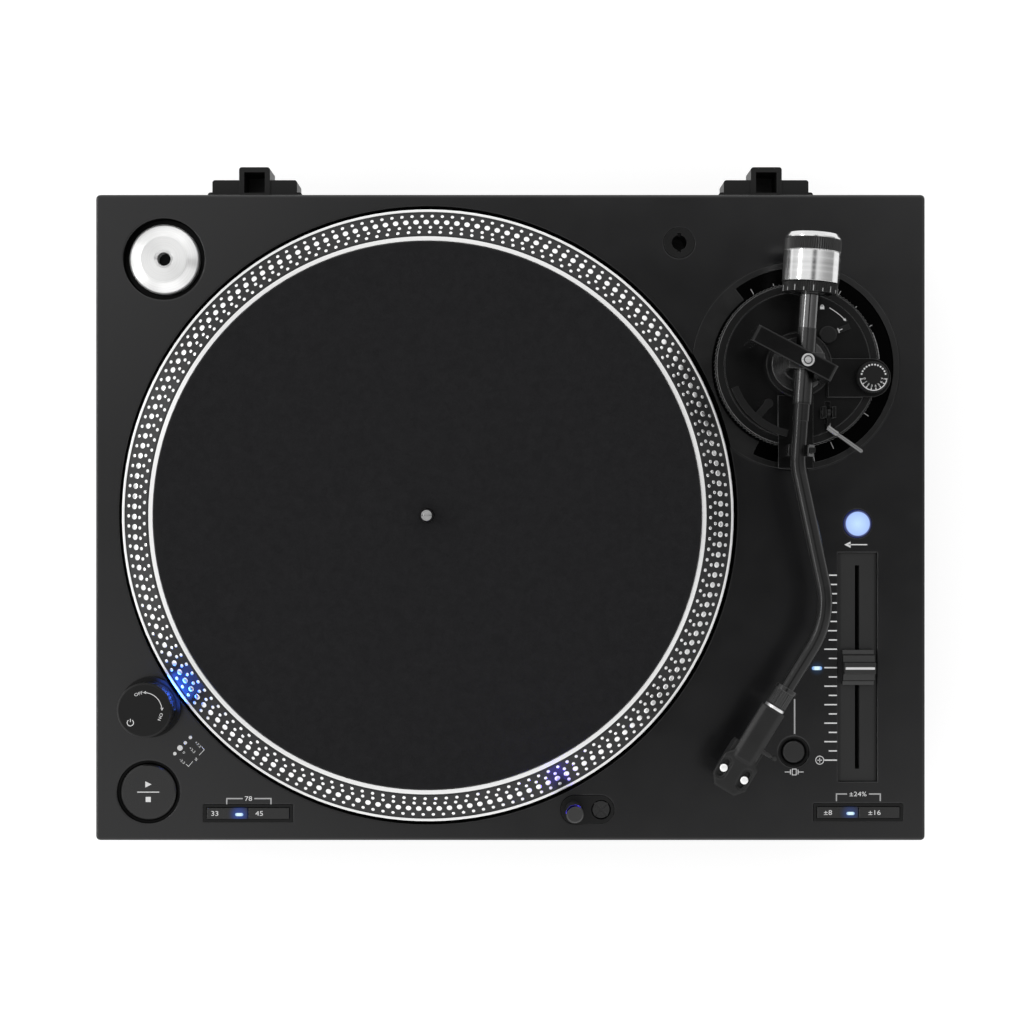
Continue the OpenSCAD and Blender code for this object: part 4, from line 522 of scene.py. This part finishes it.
def turned(name, at, axis, colour, rough, zones=None, scale=2500, bump=0.06, anisotropic=0.0):
    # metal cut on a lathe: marks run round the axis and change shade, gloss and height, and edges are painted lighter
    # as a highlight
    finish, tree, shader = newFinish(name, **{"Metallic": 1.0, "Anisotropic": anisotropic,
                                              "Anisotropic Rotation": 0.25})
    where = centred(tree, wire(tree, "TexCoord").outputs["Object"], at, axis)
    cut = useGroup(tree, turnedGroup, {"Vector": where, "Scale": scale})
    rim = useGroup(tree, edgeGroup, {"Width": 0.0003, "Strength": 2.0})
    shade = calc(tree, "ADD", times(tree, cut["Marks"], 0.3), 0.85)
    tone = mixColour(tree, rim["Edge"], tinted(tree, colour[:3], shade), rgb(0.9))
    gloss = calc(tree, "ADD", times(tree, cut["Marks"], 0.16), rough - 0.08)
    if zones:
        tone, gloss = zones(tree, shader, cut, tone, gloss)
    lifted = wire(tree, "Bump", {"Height": cut["Marks"], "Normal": rim["Normal"], "Strength": bump,
                                 "Distance": 0.0001}).outputs[0]
    plug(tree, shader, {"Base Color": tone, "Roughness": gloss, "Normal": lifted})
    return finish


band = dict(inner=150.6 * mm, outer=164.6 * mm, low=4.8 * mm, colour=rgb(0.005, 0.005, 0.0055), rough=0.36)


def bandZone(tree, shader, cut, tone, gloss):  # dark band between the ring beside the mat and the polished edge
    mask = times(tree, between(tree, cut["Radius"], band["inner"], band["outer"]),
                 calc(tree, "GREATER_THAN", cut["Along"], band["low"]))
    plug(tree, shader, {"Metallic": calc(tree, "SUBTRACT", 1.0, mask)})
    return mixColour(tree, mask, tone, band["colour"]), mixValue(tree, mask, gloss, band["rough"])


platterMetal = turned("platterMetal", spindleAt, (0, 0, 1), rgb(0.97, 0.97, 0.965), 0.42, bandZone, anisotropic=0.85)
adaptorMetal = turned("adaptorMetal", jointAt["adaptor_lift"], (0, 0, 1), rgb(0.84, 0.84, 0.835), 0.36, anisotropic=0.6)
spindleSteel = turned("spindleSteel", spindleAt, (0, 0, 1), rgb(0.30), 0.2, scale=1800)
dotMetal = coated("dotMetal", rgb(0.92), 0.28, scale=2500, spread=0.1, bump=0.02, edge=0.0001, worn=0.95,
                  metallic=1.0)

print("finishes built")

nodeFinish = {}
for finish, nodes in [
        (deckPaint, "deck"), (basePlastic, "base_pan"),
        (plainSteel, "base_screws rotor spindle_bearing power_transformer stylus"),
        (socketPlastic, "hinge_socket_left hinge_socket_right"),
        (footRubber, "foot_front_left foot_front_right foot_rear_left foot_rear_right"), (platterMetal, "platter"),
        (spindleSteel, "spindle"), (copperWire, "motor_stator"), (boardGreen, "main_board switch_boards"),
        (keyFrame, "button_frames strobe_tower"),
        (moulded, "jack_panel power_inlet power_knob lamp_bezel headshell_holder arm_clip"),
        (adaptorMetal, "adaptor_45"),
        (keyCap, "start_stop_button button_45 button_range_high quartz_button target_button"),
        (keySpeed, "button_33"), (keyRange, "button_range_low"), (panelPlastic, "pitch_panel"),
        (faderBlack, "pitch_fader cartridge"), (knobPlastic, "pitch_knob"), (baseGloss, "arm_base"),
        (ringCoat, "height_ring"), (platformGloss, "arm_platform"), (housingGloss, "pivot_housing"),
        (bridgeGloss, "pivot_bridge"), (pivotSteel, "pivot_screw"), (gimbalMetal, "gimbal"), (tubeGloss, "arm_tube"),
        (stubChrome, "rear_stub"), (dialCoat, "force_dial anti_skate_dial height_lock"),
        (collarGloss, "locking_collar"), (shellGloss, "headshell"), (restGloss, "arm_rest"),
        (leverMetal, "cue_lever"), (liftPlastic, "lift_platform")]:
    nodeFinish.update(dict.fromkeys(nodes.split(), finish))


def glowing(name, inner, outer, at, edge, strength=1.0, base=rgb(0.02), seen=None, heart=None):
    # the inner colour changes to the outer one across an edge, given as two distances from the middle
    finish, tree, shader = newFinish(name, **{"Base Color": base, "Roughness": 0.3, "Emission Strength": strength})
    where = wire(tree, "TexCoord").outputs["Object"]
    grain = useGroup(tree, grainGroup, {"Vector": where, "Scale": 1500.0, "Spread": 0.12})
    away = vector(tree, "DISTANCE", where, tuple(at), "Value")
    fall = ramp(tree, away, edge[0] * mm, edge[1] * mm)
    if heart:  # colour right at the middle
        inner = mixColour(tree, ramp(tree, away, 0.0, edge[0] * mm, kind="LINEAR"), heart, inner)
    tone = tinted(tree, mixColour(tree, fall, inner, outer), grain["Shade"])
    if seen:  # how bright the lamp itself looks, beside the light it gives
        tone = mixColour(tree, wire(tree, "LightPath").outputs["Is Camera Ray"], tone, tinted(tree, tone, seen))
    plug(tree, shader, {"Emission Color": tone})
    return finish


nodeFinish["reverse_button"] = glowing("litButton", rgb(0.37, 0.53, 1.0), rgb(0.003, 0.009, 0.09),
                                       onTop("reverse_button"), (6.2, 6.9), base=rgb(0.03), heart=rgb(0.52, 0.74, 0.97))
nodeFinish["strobe_lens"] = glowing("strobeBlue", rgb(0.04, 0.15, 1.0), rgb(0.04, 0.15, 1.0),
                                    onTop("strobe_lens"), (5.0, 20.0), strength=34.0, seen=0.0014)
lampFinish = {name: glowing(name + "Blue", rgb(0.72, 0.95, 1.0), rgb(0.16, 0.36, 0.80), lamp["at"], (0.9, 2.6))
              for name, lamp in lamps.items()}
notch = dict(radius=4.5, heights=(13.8, 18.8), steep=0.5, light=rgb(0.06, 0.03, 1.0),
             seen=rgb(0.0001, 0.0001, 0.0005), wall=rgb(0.0008), strength=105.0)


def windowGlow(tree, shader, where, tone):  # light from the steep walls of the notch in the lamp's head
    inside = bothOf(inRadius(jointAt["lamp_pop"], 0, notch["radius"]), inHeight(*notch["heights"]))(tree, where)
    lean = wire(tree, "SeparateXYZ", {0: wire(tree, "NewGeometry").outputs["Normal"]}).outputs[2]
    lit = times(tree, inside, calc(tree, "LESS_THAN", calc(tree, "ABSOLUTE", lean), notch["steep"]))
    light = mixColour(tree, wire(tree, "LightPath").outputs["Is Camera Ray"], notch["light"], notch["seen"])
    plug(tree, shader, {"Emission Color": mixColour(tree, lit, rgb(0), light), "Metallic": inside})
    return mixColour(tree, inside, tone, notch["wall"])


nodeFinish["target_lamp"] = coated("lampCap", rgb(0.020), 0.3, scale=1600, bump=0.02,
                                   extra=windowGlow, **{"Emission Strength": notch["strength"]})

weight = dict(grip=(58.0, 64.5), colour=rgb(0.006), rough=0.36)  # grip in millimetres behind the pivot


def gripZone(tree, shader, cut, tone, gloss):
    mask = between(tree, cut["Along"], weight["grip"][0] * mm, weight["grip"][1] * mm)
    plug(tree, shader, {"Metallic": calc(tree, "SUBTRACT", 1.0, mask)})
    return mixColour(tree, mask, tone, weight["colour"]), mixValue(tree, mask, gloss, weight["rough"])


nodeFinish["counterweight"] = turned("weightMetal", armLine, -armAxis, rgb(0.72), 0.17, gripZone, scale=400, bump=0.0)

for name, finish in nodeFinish.items():
    parts[name].data.materials.clear()
    parts[name].data.materials.append(finish)
print("finishes on", len(nodeFinish), "nodes")


# felt mat

mat = dict(radius=147.9 * mm, hole=3.9 * mm, round=0.9 * mm, rings=70, around=256)
matLow, matHigh = (np.array(corner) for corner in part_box("slipmat"))


def feltFinish():
    # pressed fibres: a fine and a broad noise, both distorted, added up to shade and lift the felt
    finish, tree, shader = newFinish("blackFelt", **{"Roughness": 0.95, "Sheen Weight": 0.12, "Sheen Roughness": 0.5,
                                                     "Specular IOR Level": 0.12})
    where = wire(tree, "TexCoord").outputs["Object"]
    broad = wire(tree, "TexNoise", {"Vector": where, "Scale": 220.0, "Detail": 3.0, "Distortion": 0.6})
    fibre = wire(tree, "TexNoise", {"Vector": where, "Scale": 1400.0, "Detail": 4.0, "Distortion": 2.5})
    both = calc(tree, "ADD", times(tree, fibre.outputs["Fac"], 0.7), times(tree, broad.outputs["Fac"], 0.3))
    tone = wire(tree, "ValToRGB", {0: both})
    tone.color_ramp.elements[0].position, tone.color_ramp.elements[0].color = 0.3, rgb(0.0045, 0.0045, 0.005)
    tone.color_ramp.elements[1].position, tone.color_ramp.elements[1].color = 0.75, rgb(0.0135, 0.0135, 0.0145)
    lifted = wire(tree, "Bump", {"Height": both, "Strength": 0.5, "Distance": 0.0004}).outputs[0]
    plug(tree, shader, {"Base Color": tone.outputs[0], "Normal": lifted})
    return finish


def matShape():
    # a flat section with quarter rounds at its two top edges, turned about the spindle
    r, hole, low, high, rnd = mat["radius"], mat["hole"], matLow[2], matHigh[2], mat["round"]
    t = np.linspace(0, np.pi / 2, 6)
    inner = np.stack([hole + rnd * (1 - np.sin(t[::-1])), high - rnd * (1 - np.cos(t[::-1]))], -1)
    flat = np.stack([np.linspace(hole + rnd, r - rnd, mat["rings"])[1:-1], np.full(mat["rings"] - 2, high)], -1)
    outer = np.stack([r - rnd * (1 - np.sin(t)), high - rnd * (1 - np.cos(t))], -1)
    profile = np.concatenate([[[hole, low]], inner, flat, outer, [[r, low]]])
    return revolve(profile, np.array([spindleAt[0], spindleAt[1], 0]), (0, 0, 1), mat["around"])


feltMat = addPiece("feltMat", matShape(), feltFinish(), "platter_unit", smooth=True)
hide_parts("slipmat")
print("felt mat made")


# strobe dots

strobe = dict(
    rows=[(168, 152.9, 0.95, 0.449), (174, 155.65, 0.95, -0.439),  # count, radius, size and first angle
          (180, 158.7, 1.55, -0.266), (186, 162.1, 0.95, -0.101)],
    sides=10, rings=np.array([[1.0, -0.15], [1.0, 0.55], [0.86, 0.9], [0.55, 1.0]]),  # share of size and of rise
    slopeIn=151.6, slopeOut=163.8, slopeTop=12.0, slopeLow=5.6, rise=0.28)


def dotField():
    # each dot is rings of points round its middle, laid on the band's slope, a row worked out at once
    run, drop = strobe["slopeOut"] - strobe["slopeIn"], strobe["slopeTop"] - strobe["slopeLow"]
    length = math.hypot(run, drop)
    lean = np.array([run / length, -drop / length])  # along the slope, as outward and up
    normal = np.array([drop / length, run / length])
    rings, sides = strobe["rings"], strobe["sides"]
    shapes = []
    for count, radius, size, start in strobe["rows"]:
        a = -np.radians(start + 360 * np.arange(count) / count)[:, None, None]
        t = np.linspace(0, 2 * np.pi, sides, endpoint=False)[None, None, :]
        scale, lift = rings[None, :, :1], rings[None, :, 1:] * strobe["rise"]
        along, aside = size * scale * np.cos(t), size * scale * np.sin(t)
        height = strobe["slopeTop"] - (radius - strobe["slopeIn"]) * drop / run
        r = radius + along * lean[0] + lift * normal[0]
        z = height + along * lean[1] + lift * normal[1] + 0 * a
        x = r * np.cos(a) - aside * np.sin(a)
        y = r * np.sin(a) + aside * np.cos(a)
        points = np.stack([x, y, np.broadcast_to(z, x.shape)], -1) * mm
        one = gridFaces(len(rings), sides)
        per = len(rings) * sides
        walls = (one[None] + per * np.arange(count)[:, None, None]).reshape(-1, 4).tolist()
        caps = (np.arange(per - sides, per)[None] + per * np.arange(count)[:, None]).tolist()
        floors = (np.arange(sides)[None] + per * np.arange(count)[:, None]).tolist()
        shapes.append((points.reshape(-1, 3) + [spindleAt[0], spindleAt[1], deckTop], walls + caps + floors))
    return joined(shapes)


addPiece("strobeDots", dotField(), dotMetal, "platter_unit", smooth=True)
print("strobe dots made")


# printed marks on the deck

legend = dict(
    size=1.35 * mm, percent=1.1, turn=-45, line=0.28 * mm, percentAt=(-171.3, -131.8),
    dots=[(-174.4, -119.9, 0.95), (-177.2, -122.8, 0.95), (-180.1, -125.6, 1.5), (-182.9, -128.7, 0.95)],
    numbers=[(-170.2, -123.7, "+7.2"), (-173.4, -126.7, "+3.3"), (-178.0, -128.1, "0"), (-178.9, -132.8, "-3.3")],
    hooks=[[(-168.2, -124.9), (-166.9, -126.6), (-169.6, -129.5)],
           [(-173.1, -132.9), (-175.5, -135.7), (-176.8, -134.4)]])
deckInk = [dot(onDeck(x, y), size * mm) for x, y, size in legend["dots"]]
deckInk += [letters(words, legend["size"], onDeck(x, y), legend["turn"]) for x, y, words in legend["numbers"]]
deckInk.append(letters("%", legend["size"] * legend["percent"], onDeck(*legend["percentAt"]), legend["turn"]))
deckInk += [stroke([onDeck(*corner) for corner in hook], legend["line"]) for hook in legend["hooks"]]
deckLines = []

bracket = dict(line=0.7 * mm, size=2.5 * mm, each=[(-154.6, -145.9, -139.6, -130.5, -156.3, -153.2, "78"),
                                                   (177.7, 183.5, 195.4, 201.6, -154.6, -150.7, "±24%")])
for x0, x1, x2, x3, y0, y1, words in bracket["each"]:
    deckLines.append(stroke([onDeck(x0, y0), onDeck(x0, y1), onDeck(x1, y1)], bracket["line"]))
    deckLines.append(stroke([onDeck(x2, y1), onDeck(x3, y1), onDeck(x3, y0)], bracket["line"]))
    deckInk.append(letters(words, bracket["size"], onDeck((x1 + x2) / 2, y1)))

scale = dict(middle=-81.85, pitch=5.04, right=178.0, longMark=6.9, shortMark=4.5, count=10, line=0.7 * mm)
for i in range(-scale["count"], scale["count"] + 1):
    length = scale["longMark"] if i % 2 == 0 else scale["shortMark"]
    y = scale["middle"] + i * scale["pitch"]
    deckInk.append(stroke([onDeck(scale["right"] - length, y), onDeck(scale["right"], y)], scale["line"]))

plus = dict(x=168.6, radius=2.2 * mm, arm=1.3 * mm, line=0.4 * mm, count=32)  # plus sign in a ring
plusAt = onDeck(plus["x"], scale["middle"] - scale["count"] * scale["pitch"])
plusRing = arc(plusAt, plus["radius"], 0, 360 * (1 - 1 / plus["count"]), plus["count"])
deckInk.append(stroke(plusRing, plus["line"], closed=True))
deckInk += [stroke([plusAt - arm, plusAt + arm], plus["line"]) for arm in np.eye(3)[:2] * plus["arm"]]

arrow = dict(y=-14.8, tail=194.5, neck=184.5, tip=182.0, line=0.6 * mm, head=3.4 * mm)
deckInk.append(stroke([onDeck(arrow["tail"], arrow["y"]), onDeck(arrow["neck"], arrow["y"])], arrow["line"]))
deckInk.append(arrowHead(onDeck(arrow["tip"], arrow["y"]), 180, arrow["head"]))

quartz = dict(  # crystal sign: a plate between two bars with their leads, and a line on the way to it
    at=np.array([154.7, -138.7]), pointer=[(154.9, -98.9), (154.9, -118.0)], pointerLine=0.8 * mm,
    marks=[([(-1.1, -1.6), (1.1, -1.6), (1.1, 1.6), (-1.1, 1.6)], 0.4, True),  # corners, width and whether it closes
           ([(-2.1, -1.3), (-2.1, 1.3)], 0.45, False), ([(-2.3, 0), (-5.2, 0)], 0.4, False),
           ([(2.1, -1.3), (2.1, 1.3)], 0.45, False), ([(2.3, 0), (5.2, 0)], 0.4, False)])
deckLines.append(stroke([onDeck(*end) for end in quartz["pointer"]], quartz["pointerLine"]))
for corners, width, closed in quartz["marks"]:
    deckInk.append(stroke([onDeck(*(quartz["at"] + corner)) for corner in corners], width * mm, closed))

printMarks("deckPrint", deckInk, whiteInk, "chassis")
printMarks("deckLines", deckLines, greyInk, "chassis")
print("deck marks printed")


# marks on the arm's base, platform and dials

moat = dict(z=-1.2, line=0.45 * mm, arcRadius=46 * mm, arcEnds=(23.6, 5), arcLine=0.4 * mm, marks=[
    (120, 45.4, 48.6), (105, 45.4, 46.6), (58.8, 45.4, 48.0), (44.3, 45.4, 46.8),  # angle, start and end
    (28.2, 45.4, 47.6), (-34.2, 45.4, 48.4), (-65, 45.6, 49.6), (-78.5, 46.8, 53.0)])
moatInk = [stroke([roundPivot(radius, angle, moat["z"]) for radius in ends], moat["line"])
           for angle, *ends in moat["marks"]]
moatInk.append(stroke(arc(roundPivot(0, 0, moat["z"]), moat["arcRadius"], *moat["arcEnds"]), moat["arcLine"]))
printMarks("heightMarks", moatInk, greyInk, "chassis")

lock = dict(z=8.2, radius=35.5, ends=(61, 45), tip=42, head=1.7 * mm, line=0.4 * mm, signAt=(34.2, 67),
            box=[(-1.1, -1.2), (1.1, -1.2), (1.1, 0.3), (-1.1, 0.3)], loop=0.75 * mm,
            loopUp=0.35 * mm, loopLine=0.35 * mm)
padlock = roundPivot(*lock["signAt"], lock["z"])
platformInk = [stroke(arc(roundPivot(0, 0, lock["z"]), lock["radius"] * mm, *lock["ends"]), lock["line"]),
               arrowHead(roundPivot(lock["radius"], lock["tip"], lock["z"]), lock["tip"] - 90, lock["head"]),
               plate([padlock + np.array([x, y, 0]) * mm for x, y in lock["box"]]),
               stroke(arc(padlock + [0, lock["loopUp"], 0], lock["loop"], 0, 180, 12), lock["loopLine"])]
printMarks("lockMarks", platformInk, whiteInk, "arm_mount")

lever = dict(z=10.8, angle=22, bar=6.2, half=1.3, end=8.4, line=0.45 * mm)
leverAt = jointAt["lock_turn"] * [1, 1, 0] + [0, 0, deckTop + lever["z"] * mm]
leverWay = ringPoint(np.zeros(3), mm, lever["angle"])
leverSide = np.array([-leverWay[1], leverWay[0], 0]) * lever["half"]
leverBar = leverAt + leverWay * lever["bar"]
printMarks("leverMark", [stroke([leverBar - leverSide, leverBar + leverSide], lever["line"]),
                         stroke([leverBar, leverAt + leverWay * lever["end"]], lever["line"])], whiteInk, "lock")

skate = dict(ring=7.2 * mm, ringLine=0.45 * mm, ticks=(7.1 * mm, 5.9 * mm), tickLine=0.5 * mm, numbers=4.9 * mm,
             size=1.3 * mm, dots=6.6 * mm, dotSize=0.5 * mm)
dial = onTop("anti_skate_dial")
dialInk = [stroke(arc(dial, skate["ring"], 186, 354, 40), skate["ringLine"])]
for i, angle in enumerate(np.linspace(190, 350, 8)):
    dialInk.append(stroke([ringPoint(dial, radius, angle) for radius in skate["ticks"]], skate["tickLine"]))
    dialInk.append(letters(str(i), skate["size"], ringPoint(dial, skate["numbers"], angle), angle - 270))
dialInk += [dot(ringPoint(dial, skate["dots"], angle), skate["dotSize"], 10) for angle in np.linspace(14, 166, 12)]
printMarks("skateMarks", dialInk, whiteInk, "skate")

force = dict(radius=14.62 * mm, start=36.1 * mm, end=37.9 * mm, longer=1.2 * mm, half=0.22 * mm,
             depth=(-0.4 * mm, 0.06 * mm), angles=np.arange(-80, 81, 20))


def forceTicks():
    # narrow boxes on the dial's round face, one at each angle about the arm
    aside, up = np.array([-armAxis[1], armAxis[0], 0]), np.array([0, 0, 1.0])
    shapes = []
    for i, angle in enumerate(np.radians(force["angles"])):
        out, across = math.sin(angle) * aside + math.cos(angle) * up, math.cos(angle) * aside - math.sin(angle) * up
        end = force["end"] if i % 2 else force["end"] + force["longer"]
        corners = [armLine + out * (force["radius"] + lift) + across * s * force["half"] - armAxis * run
                   for lift in force["depth"]
                   for run, s in ((force["start"], -1), (force["start"], 1), (end, 1), (end, -1))]
        shapes.append((corners, gridFaces(2, 4).tolist() + [(0, 1, 2, 3), (4, 5, 6, 7)]))
    return shapes


printMarks("forceMarks", forceTicks(), greyInk, "force_scale")
print("arm marks printed")


# marks on the keys

play = dict(node="start_stop_button", ends=(-6, 6), line=0.5 * mm, tip=(1.8, 4.2), head=3.4 * mm,
            stop=[(-1.4, -5.4), (1.4, -5.4), (1.4, -2.6), (-1.4, -2.6)])
startInk = [stroke([onTop(play["node"], x) for x in play["ends"]], play["line"]),
            arrowHead(onTop(play["node"], *play["tip"]), 0, play["head"]),
            plate([onTop(play["node"], *corner) for corner in play["stop"]])]
printMarks("startPrint", startInk, whiteInk, "start_key")

keys = dict(size=2.6 * mm, each=[("button_33", "speed_33_key", "33", -6.7), ("button_45", "speed_45_key", "45", -5.2),
                                 ("button_range_low", "range_low_key", "±8", -5.3),
                                 ("button_range_high", "range_high_key", "±16", -2.6)])
for node, body, words, shift in keys["each"]:
    printMarks(node + "Print", [letters(words, keys["size"], onTop(node, shift))], whiteInk, body)

knob = dict(radius=9.6 * mm, line=0.35 * mm, head=1.6 * mm, words=9.4 * mm, size=1.6 * mm,
            signAt=(9.8 * mm, 222), sign=1.7 * mm, signLine=0.4 * mm, signBar=(0.4 * mm, 2.1 * mm))
knobTop = onTop("power_knob")
sign = ringPoint(knobTop, *knob["signAt"])  # circle open at the top with a bar through the gap
powerInk = [stroke(arc(knobTop, knob["radius"], 88, 4), knob["line"]),
            arrowHead(ringPoint(knobTop, knob["radius"], 93), 182, knob["head"]),
            arrowHead(ringPoint(knobTop, knob["radius"], -1), -92, knob["head"]),
            letters("OFF", knob["size"], ringPoint(knobTop, knob["words"], 108), 18),
            letters("ON", knob["size"], ringPoint(knobTop, knob["words"], -21), -111),
            stroke(arc(sign, knob["sign"], 125, 415, 30), knob["signLine"]),
            stroke([sign + [0, y, 0] for y in knob["signBar"]], knob["signLine"])]
printMarks("powerPrint", powerInk, whiteInk, "power_dial")

pitchMark = dict(ends=(-7.9, 7.9), line=1.3 * mm)
pitchInk = [stroke([onTop("pitch_knob", x) for x in pitchMark["ends"]], pitchMark["line"])]
printMarks("pitchLine", pitchInk, whiteInk, "pitch_slider")
print("key marks printed")


# small lamps

def pill(at, length, width, rise):
    # half-round bar with round ends: an outline shrunk and lifted along a quarter circle
    around, lift = 32, np.radians([0, 0, 25, 50, 70, 86])
    t = np.linspace(0, 2 * np.pi, around, endpoint=False)
    outline = np.stack([np.cos(t) * width / 2 + np.sign(np.cos(t)) * (length - width) / 2, np.sin(t) * width / 2], -1)
    points = np.stack([np.outer(np.cos(lift), outline[:, 0]), np.outer(np.cos(lift), outline[:, 1]),
                       np.outer(np.sin(lift), np.full(around, rise))], -1)
    points[0, :, 2] = -ink["sink"] * 3
    last = around * (len(lift) - 1)
    ends = [tuple(range(around)), tuple(range(last, last + around))]
    return points.reshape(-1, 3) + at, gridFaces(len(lift), around).tolist() + ends


for name, lamp in lamps.items():
    addPiece(name + "Lamp", pill(lamp["at"], *(np.array(lamp["size"]) * mm)), lampFinish[name], lamp["body"],
             smooth=True)
print("lamps made")


# screws of the cartridge, and the sleeves of the jacks

screw = dict(head=2.15, rise=1.1, dome=0.5, shank=1.3, deep=-3.2, run=53.4, apart=6.35, floor=-0.4)


def screwShape(across):
    # a head with a domed top over a shank, turned about its own axis
    t = np.linspace(0, np.pi / 2, 6)
    dome = np.stack([screw["head"] * np.cos(t), screw["rise"] + screw["dome"] * np.sin(t)], -1)
    shank, deep = screw["shank"], screw["deep"]
    profile = np.concatenate([[[0, deep], [shank, deep], [shank, 0], [screw["head"], 0]], dome])
    return revolve(profile * mm, onShell(screw["run"], across, screw["floor"]), (0, 0, 1), 24, closed=False)


screws = joined([screwShape(side * screw["apart"]) for side in (-1, 1)])
addPiece("cartridgeScrews", screws, screwSteel, "shell", smooth=True)

jack = dict(z=-28, base=164.0, end=173.0, bore=1.7, inner=3.2, radius=4.15, sleeve=4.35, lap=0.3, foot=5.7)
for x, ringFinish, name in [(46.6, plugWhite, "left"), (60.6, plugRed, "right")]:
    middle = onDeck(x, jack["base"], jack["z"])
    length, skin = jack["end"] - jack["base"], jack["radius"] - jack["lap"]
    bore, inner, sleeve, wide = jack["bore"], jack["inner"], jack["sleeve"], jack["foot"]
    profiles = [[(skin, 3.0), (sleeve, 3.0), (sleeve, length + 0.25), (inner, length + 0.25), (inner, length - 0.2),
                 (skin, length - 0.2)],
                [(bore, length - 0.2), (inner, length - 0.2), (inner, length + 0.12), (bore, length + 0.12)],
                [(skin, 1.0), (wide, 1.0), (wide, 1.5), (skin, 1.5)]]
    tube, ring, foot = (revolve(np.array(profile) * mm, middle, (0, 1, 0), 40) for profile in profiles)
    addPiece(name + "JackSleeve", tube, plugMetal, "chassis", smooth=True)
    addPiece(name + "JackRing", joined([ring, foot]), ringFinish, "chassis", smooth=True)
print("screws and jacks dressed")


# floor, light and camera

ground = dict(half=6.0, colour=rgb(0.42), glow=0.69)


def makeFloor():
    half = ground["half"]
    mesh = bpy.data.meshes.new("floor")
    mesh.from_pydata([(-half, -half, 0), (half, -half, 0), (half, half, 0), (-half, half, 0)], [], [(0, 1, 2, 3)])
    finish, tree, shader = newFinish("paleFloor", **{"Base Color": ground["colour"], "Roughness": 0.9,
                                                     "Specular IOR Level": 0.1, "Emission Color": rgb(1.0)})
    rays = wire(tree, "LightPath").outputs
    seen = calc(tree, "ADD", rays["Is Camera Ray"], rays["Is Glossy Ray"])
    seen = calc(tree, "ADD", seen, rays["Is Transmission Ray"])
    plug(tree, shader, {"Emission Strength": times(tree, seen, ground["glow"])})
    mesh.materials.append(finish)
    floor = bpy.data.objects.new("floor", mesh)
    scene.collection.objects.link(floor)


boxes = dict(aim=(0, 0, 0.1), each=[("frontBox", (0, -1.5, 1.45), (1.7, 0.8), 2),  # place, size and power
                                    ("backBox", (0, 1.5, 1.45), (1.7, 0.8), 2),
                                    ("leftBox", (-1.5, 0.1, 1.3), (1.4, 0.2), 9)])


def softbox(name, at, size, power):
    lamp = bpy.data.lights.new(name, "AREA")
    lamp.shape, lamp.size, lamp.size_y, lamp.energy = "RECTANGLE", size[0], size[1], power
    box = bpy.data.objects.new(name, lamp)
    box.rotation_euler = (Vector(boxes["aim"]) - Vector(at)).to_track_quat("-Z", "Y").to_euler()
    box.location = at
    scene.collection.objects.link(box)


sky = dict(grow=(22.0, 26.0), lean=(2.24, 0.38), dark=0.17, least=0.015, most=1.05, gap=(0.04, 0.26), gapLight=0.35)


def makeWorld():
    # dark straight overhead, growing with the square of the lean to full, sooner to the left and front,
    # with a narrow darker gap to the left and right
    world = bpy.data.worlds.new("studio")
    world.use_nodes = True
    tree = world.node_tree
    shade = tree.nodes["Background"]
    way = wire(tree, "SeparateXYZ", {0: wire(tree, "TexCoord").outputs["Generated"]}).outputs
    squares = [times(tree, way[i], way[i]) for i in (0, 1)]
    grown, lean = (calc(tree, "ADD", times(tree, pair[0], rate[0]), times(tree, pair[1], rate[1]))
                   for pair, rate in ((squares, sky["grow"]), (way, sky["lean"])))
    full = calc(tree, "SUBTRACT", calc(tree, "SUBTRACT", grown, lean), sky["dark"])
    full = calc(tree, "MINIMUM", calc(tree, "MAXIMUM", full, sky["least"]), sky["most"])
    flat = calc(tree, "SQRT", calc(tree, "ADD", calc(tree, "ADD", *squares), 0.002))
    aside = calc(tree, "DIVIDE", calc(tree, "ABSOLUTE", way[1]), flat)
    gap = ramp(tree, aside, *sky["gap"], sky["gapLight"])
    seen = wire(tree, "LightPath").outputs["Is Camera Ray"]
    strength = mixValue(tree, seen, times(tree, full, gap), 1.0)
    plug(tree, shade, {"Strength": strength, "Color": rgb(1.0)})
    scene.world = world


lens = dict(focal=77.4, sensor=36, at=(0.87, 3.0, 1200))  # millimetres, from the middle of the deck's top


def makeCamera():
    view = bpy.data.cameras.new("camera")
    view.lens, view.sensor_width = lens["focal"], lens["sensor"]
    camera = bpy.data.objects.new("camera", view)
    camera.location = onDeck(*lens["at"])
    scene.collection.objects.link(camera)
    scene.camera = camera


makeFloor()
makeWorld()
makeCamera()
for each in boxes["each"]:
    softbox(*each)
print("floor, light and camera set")
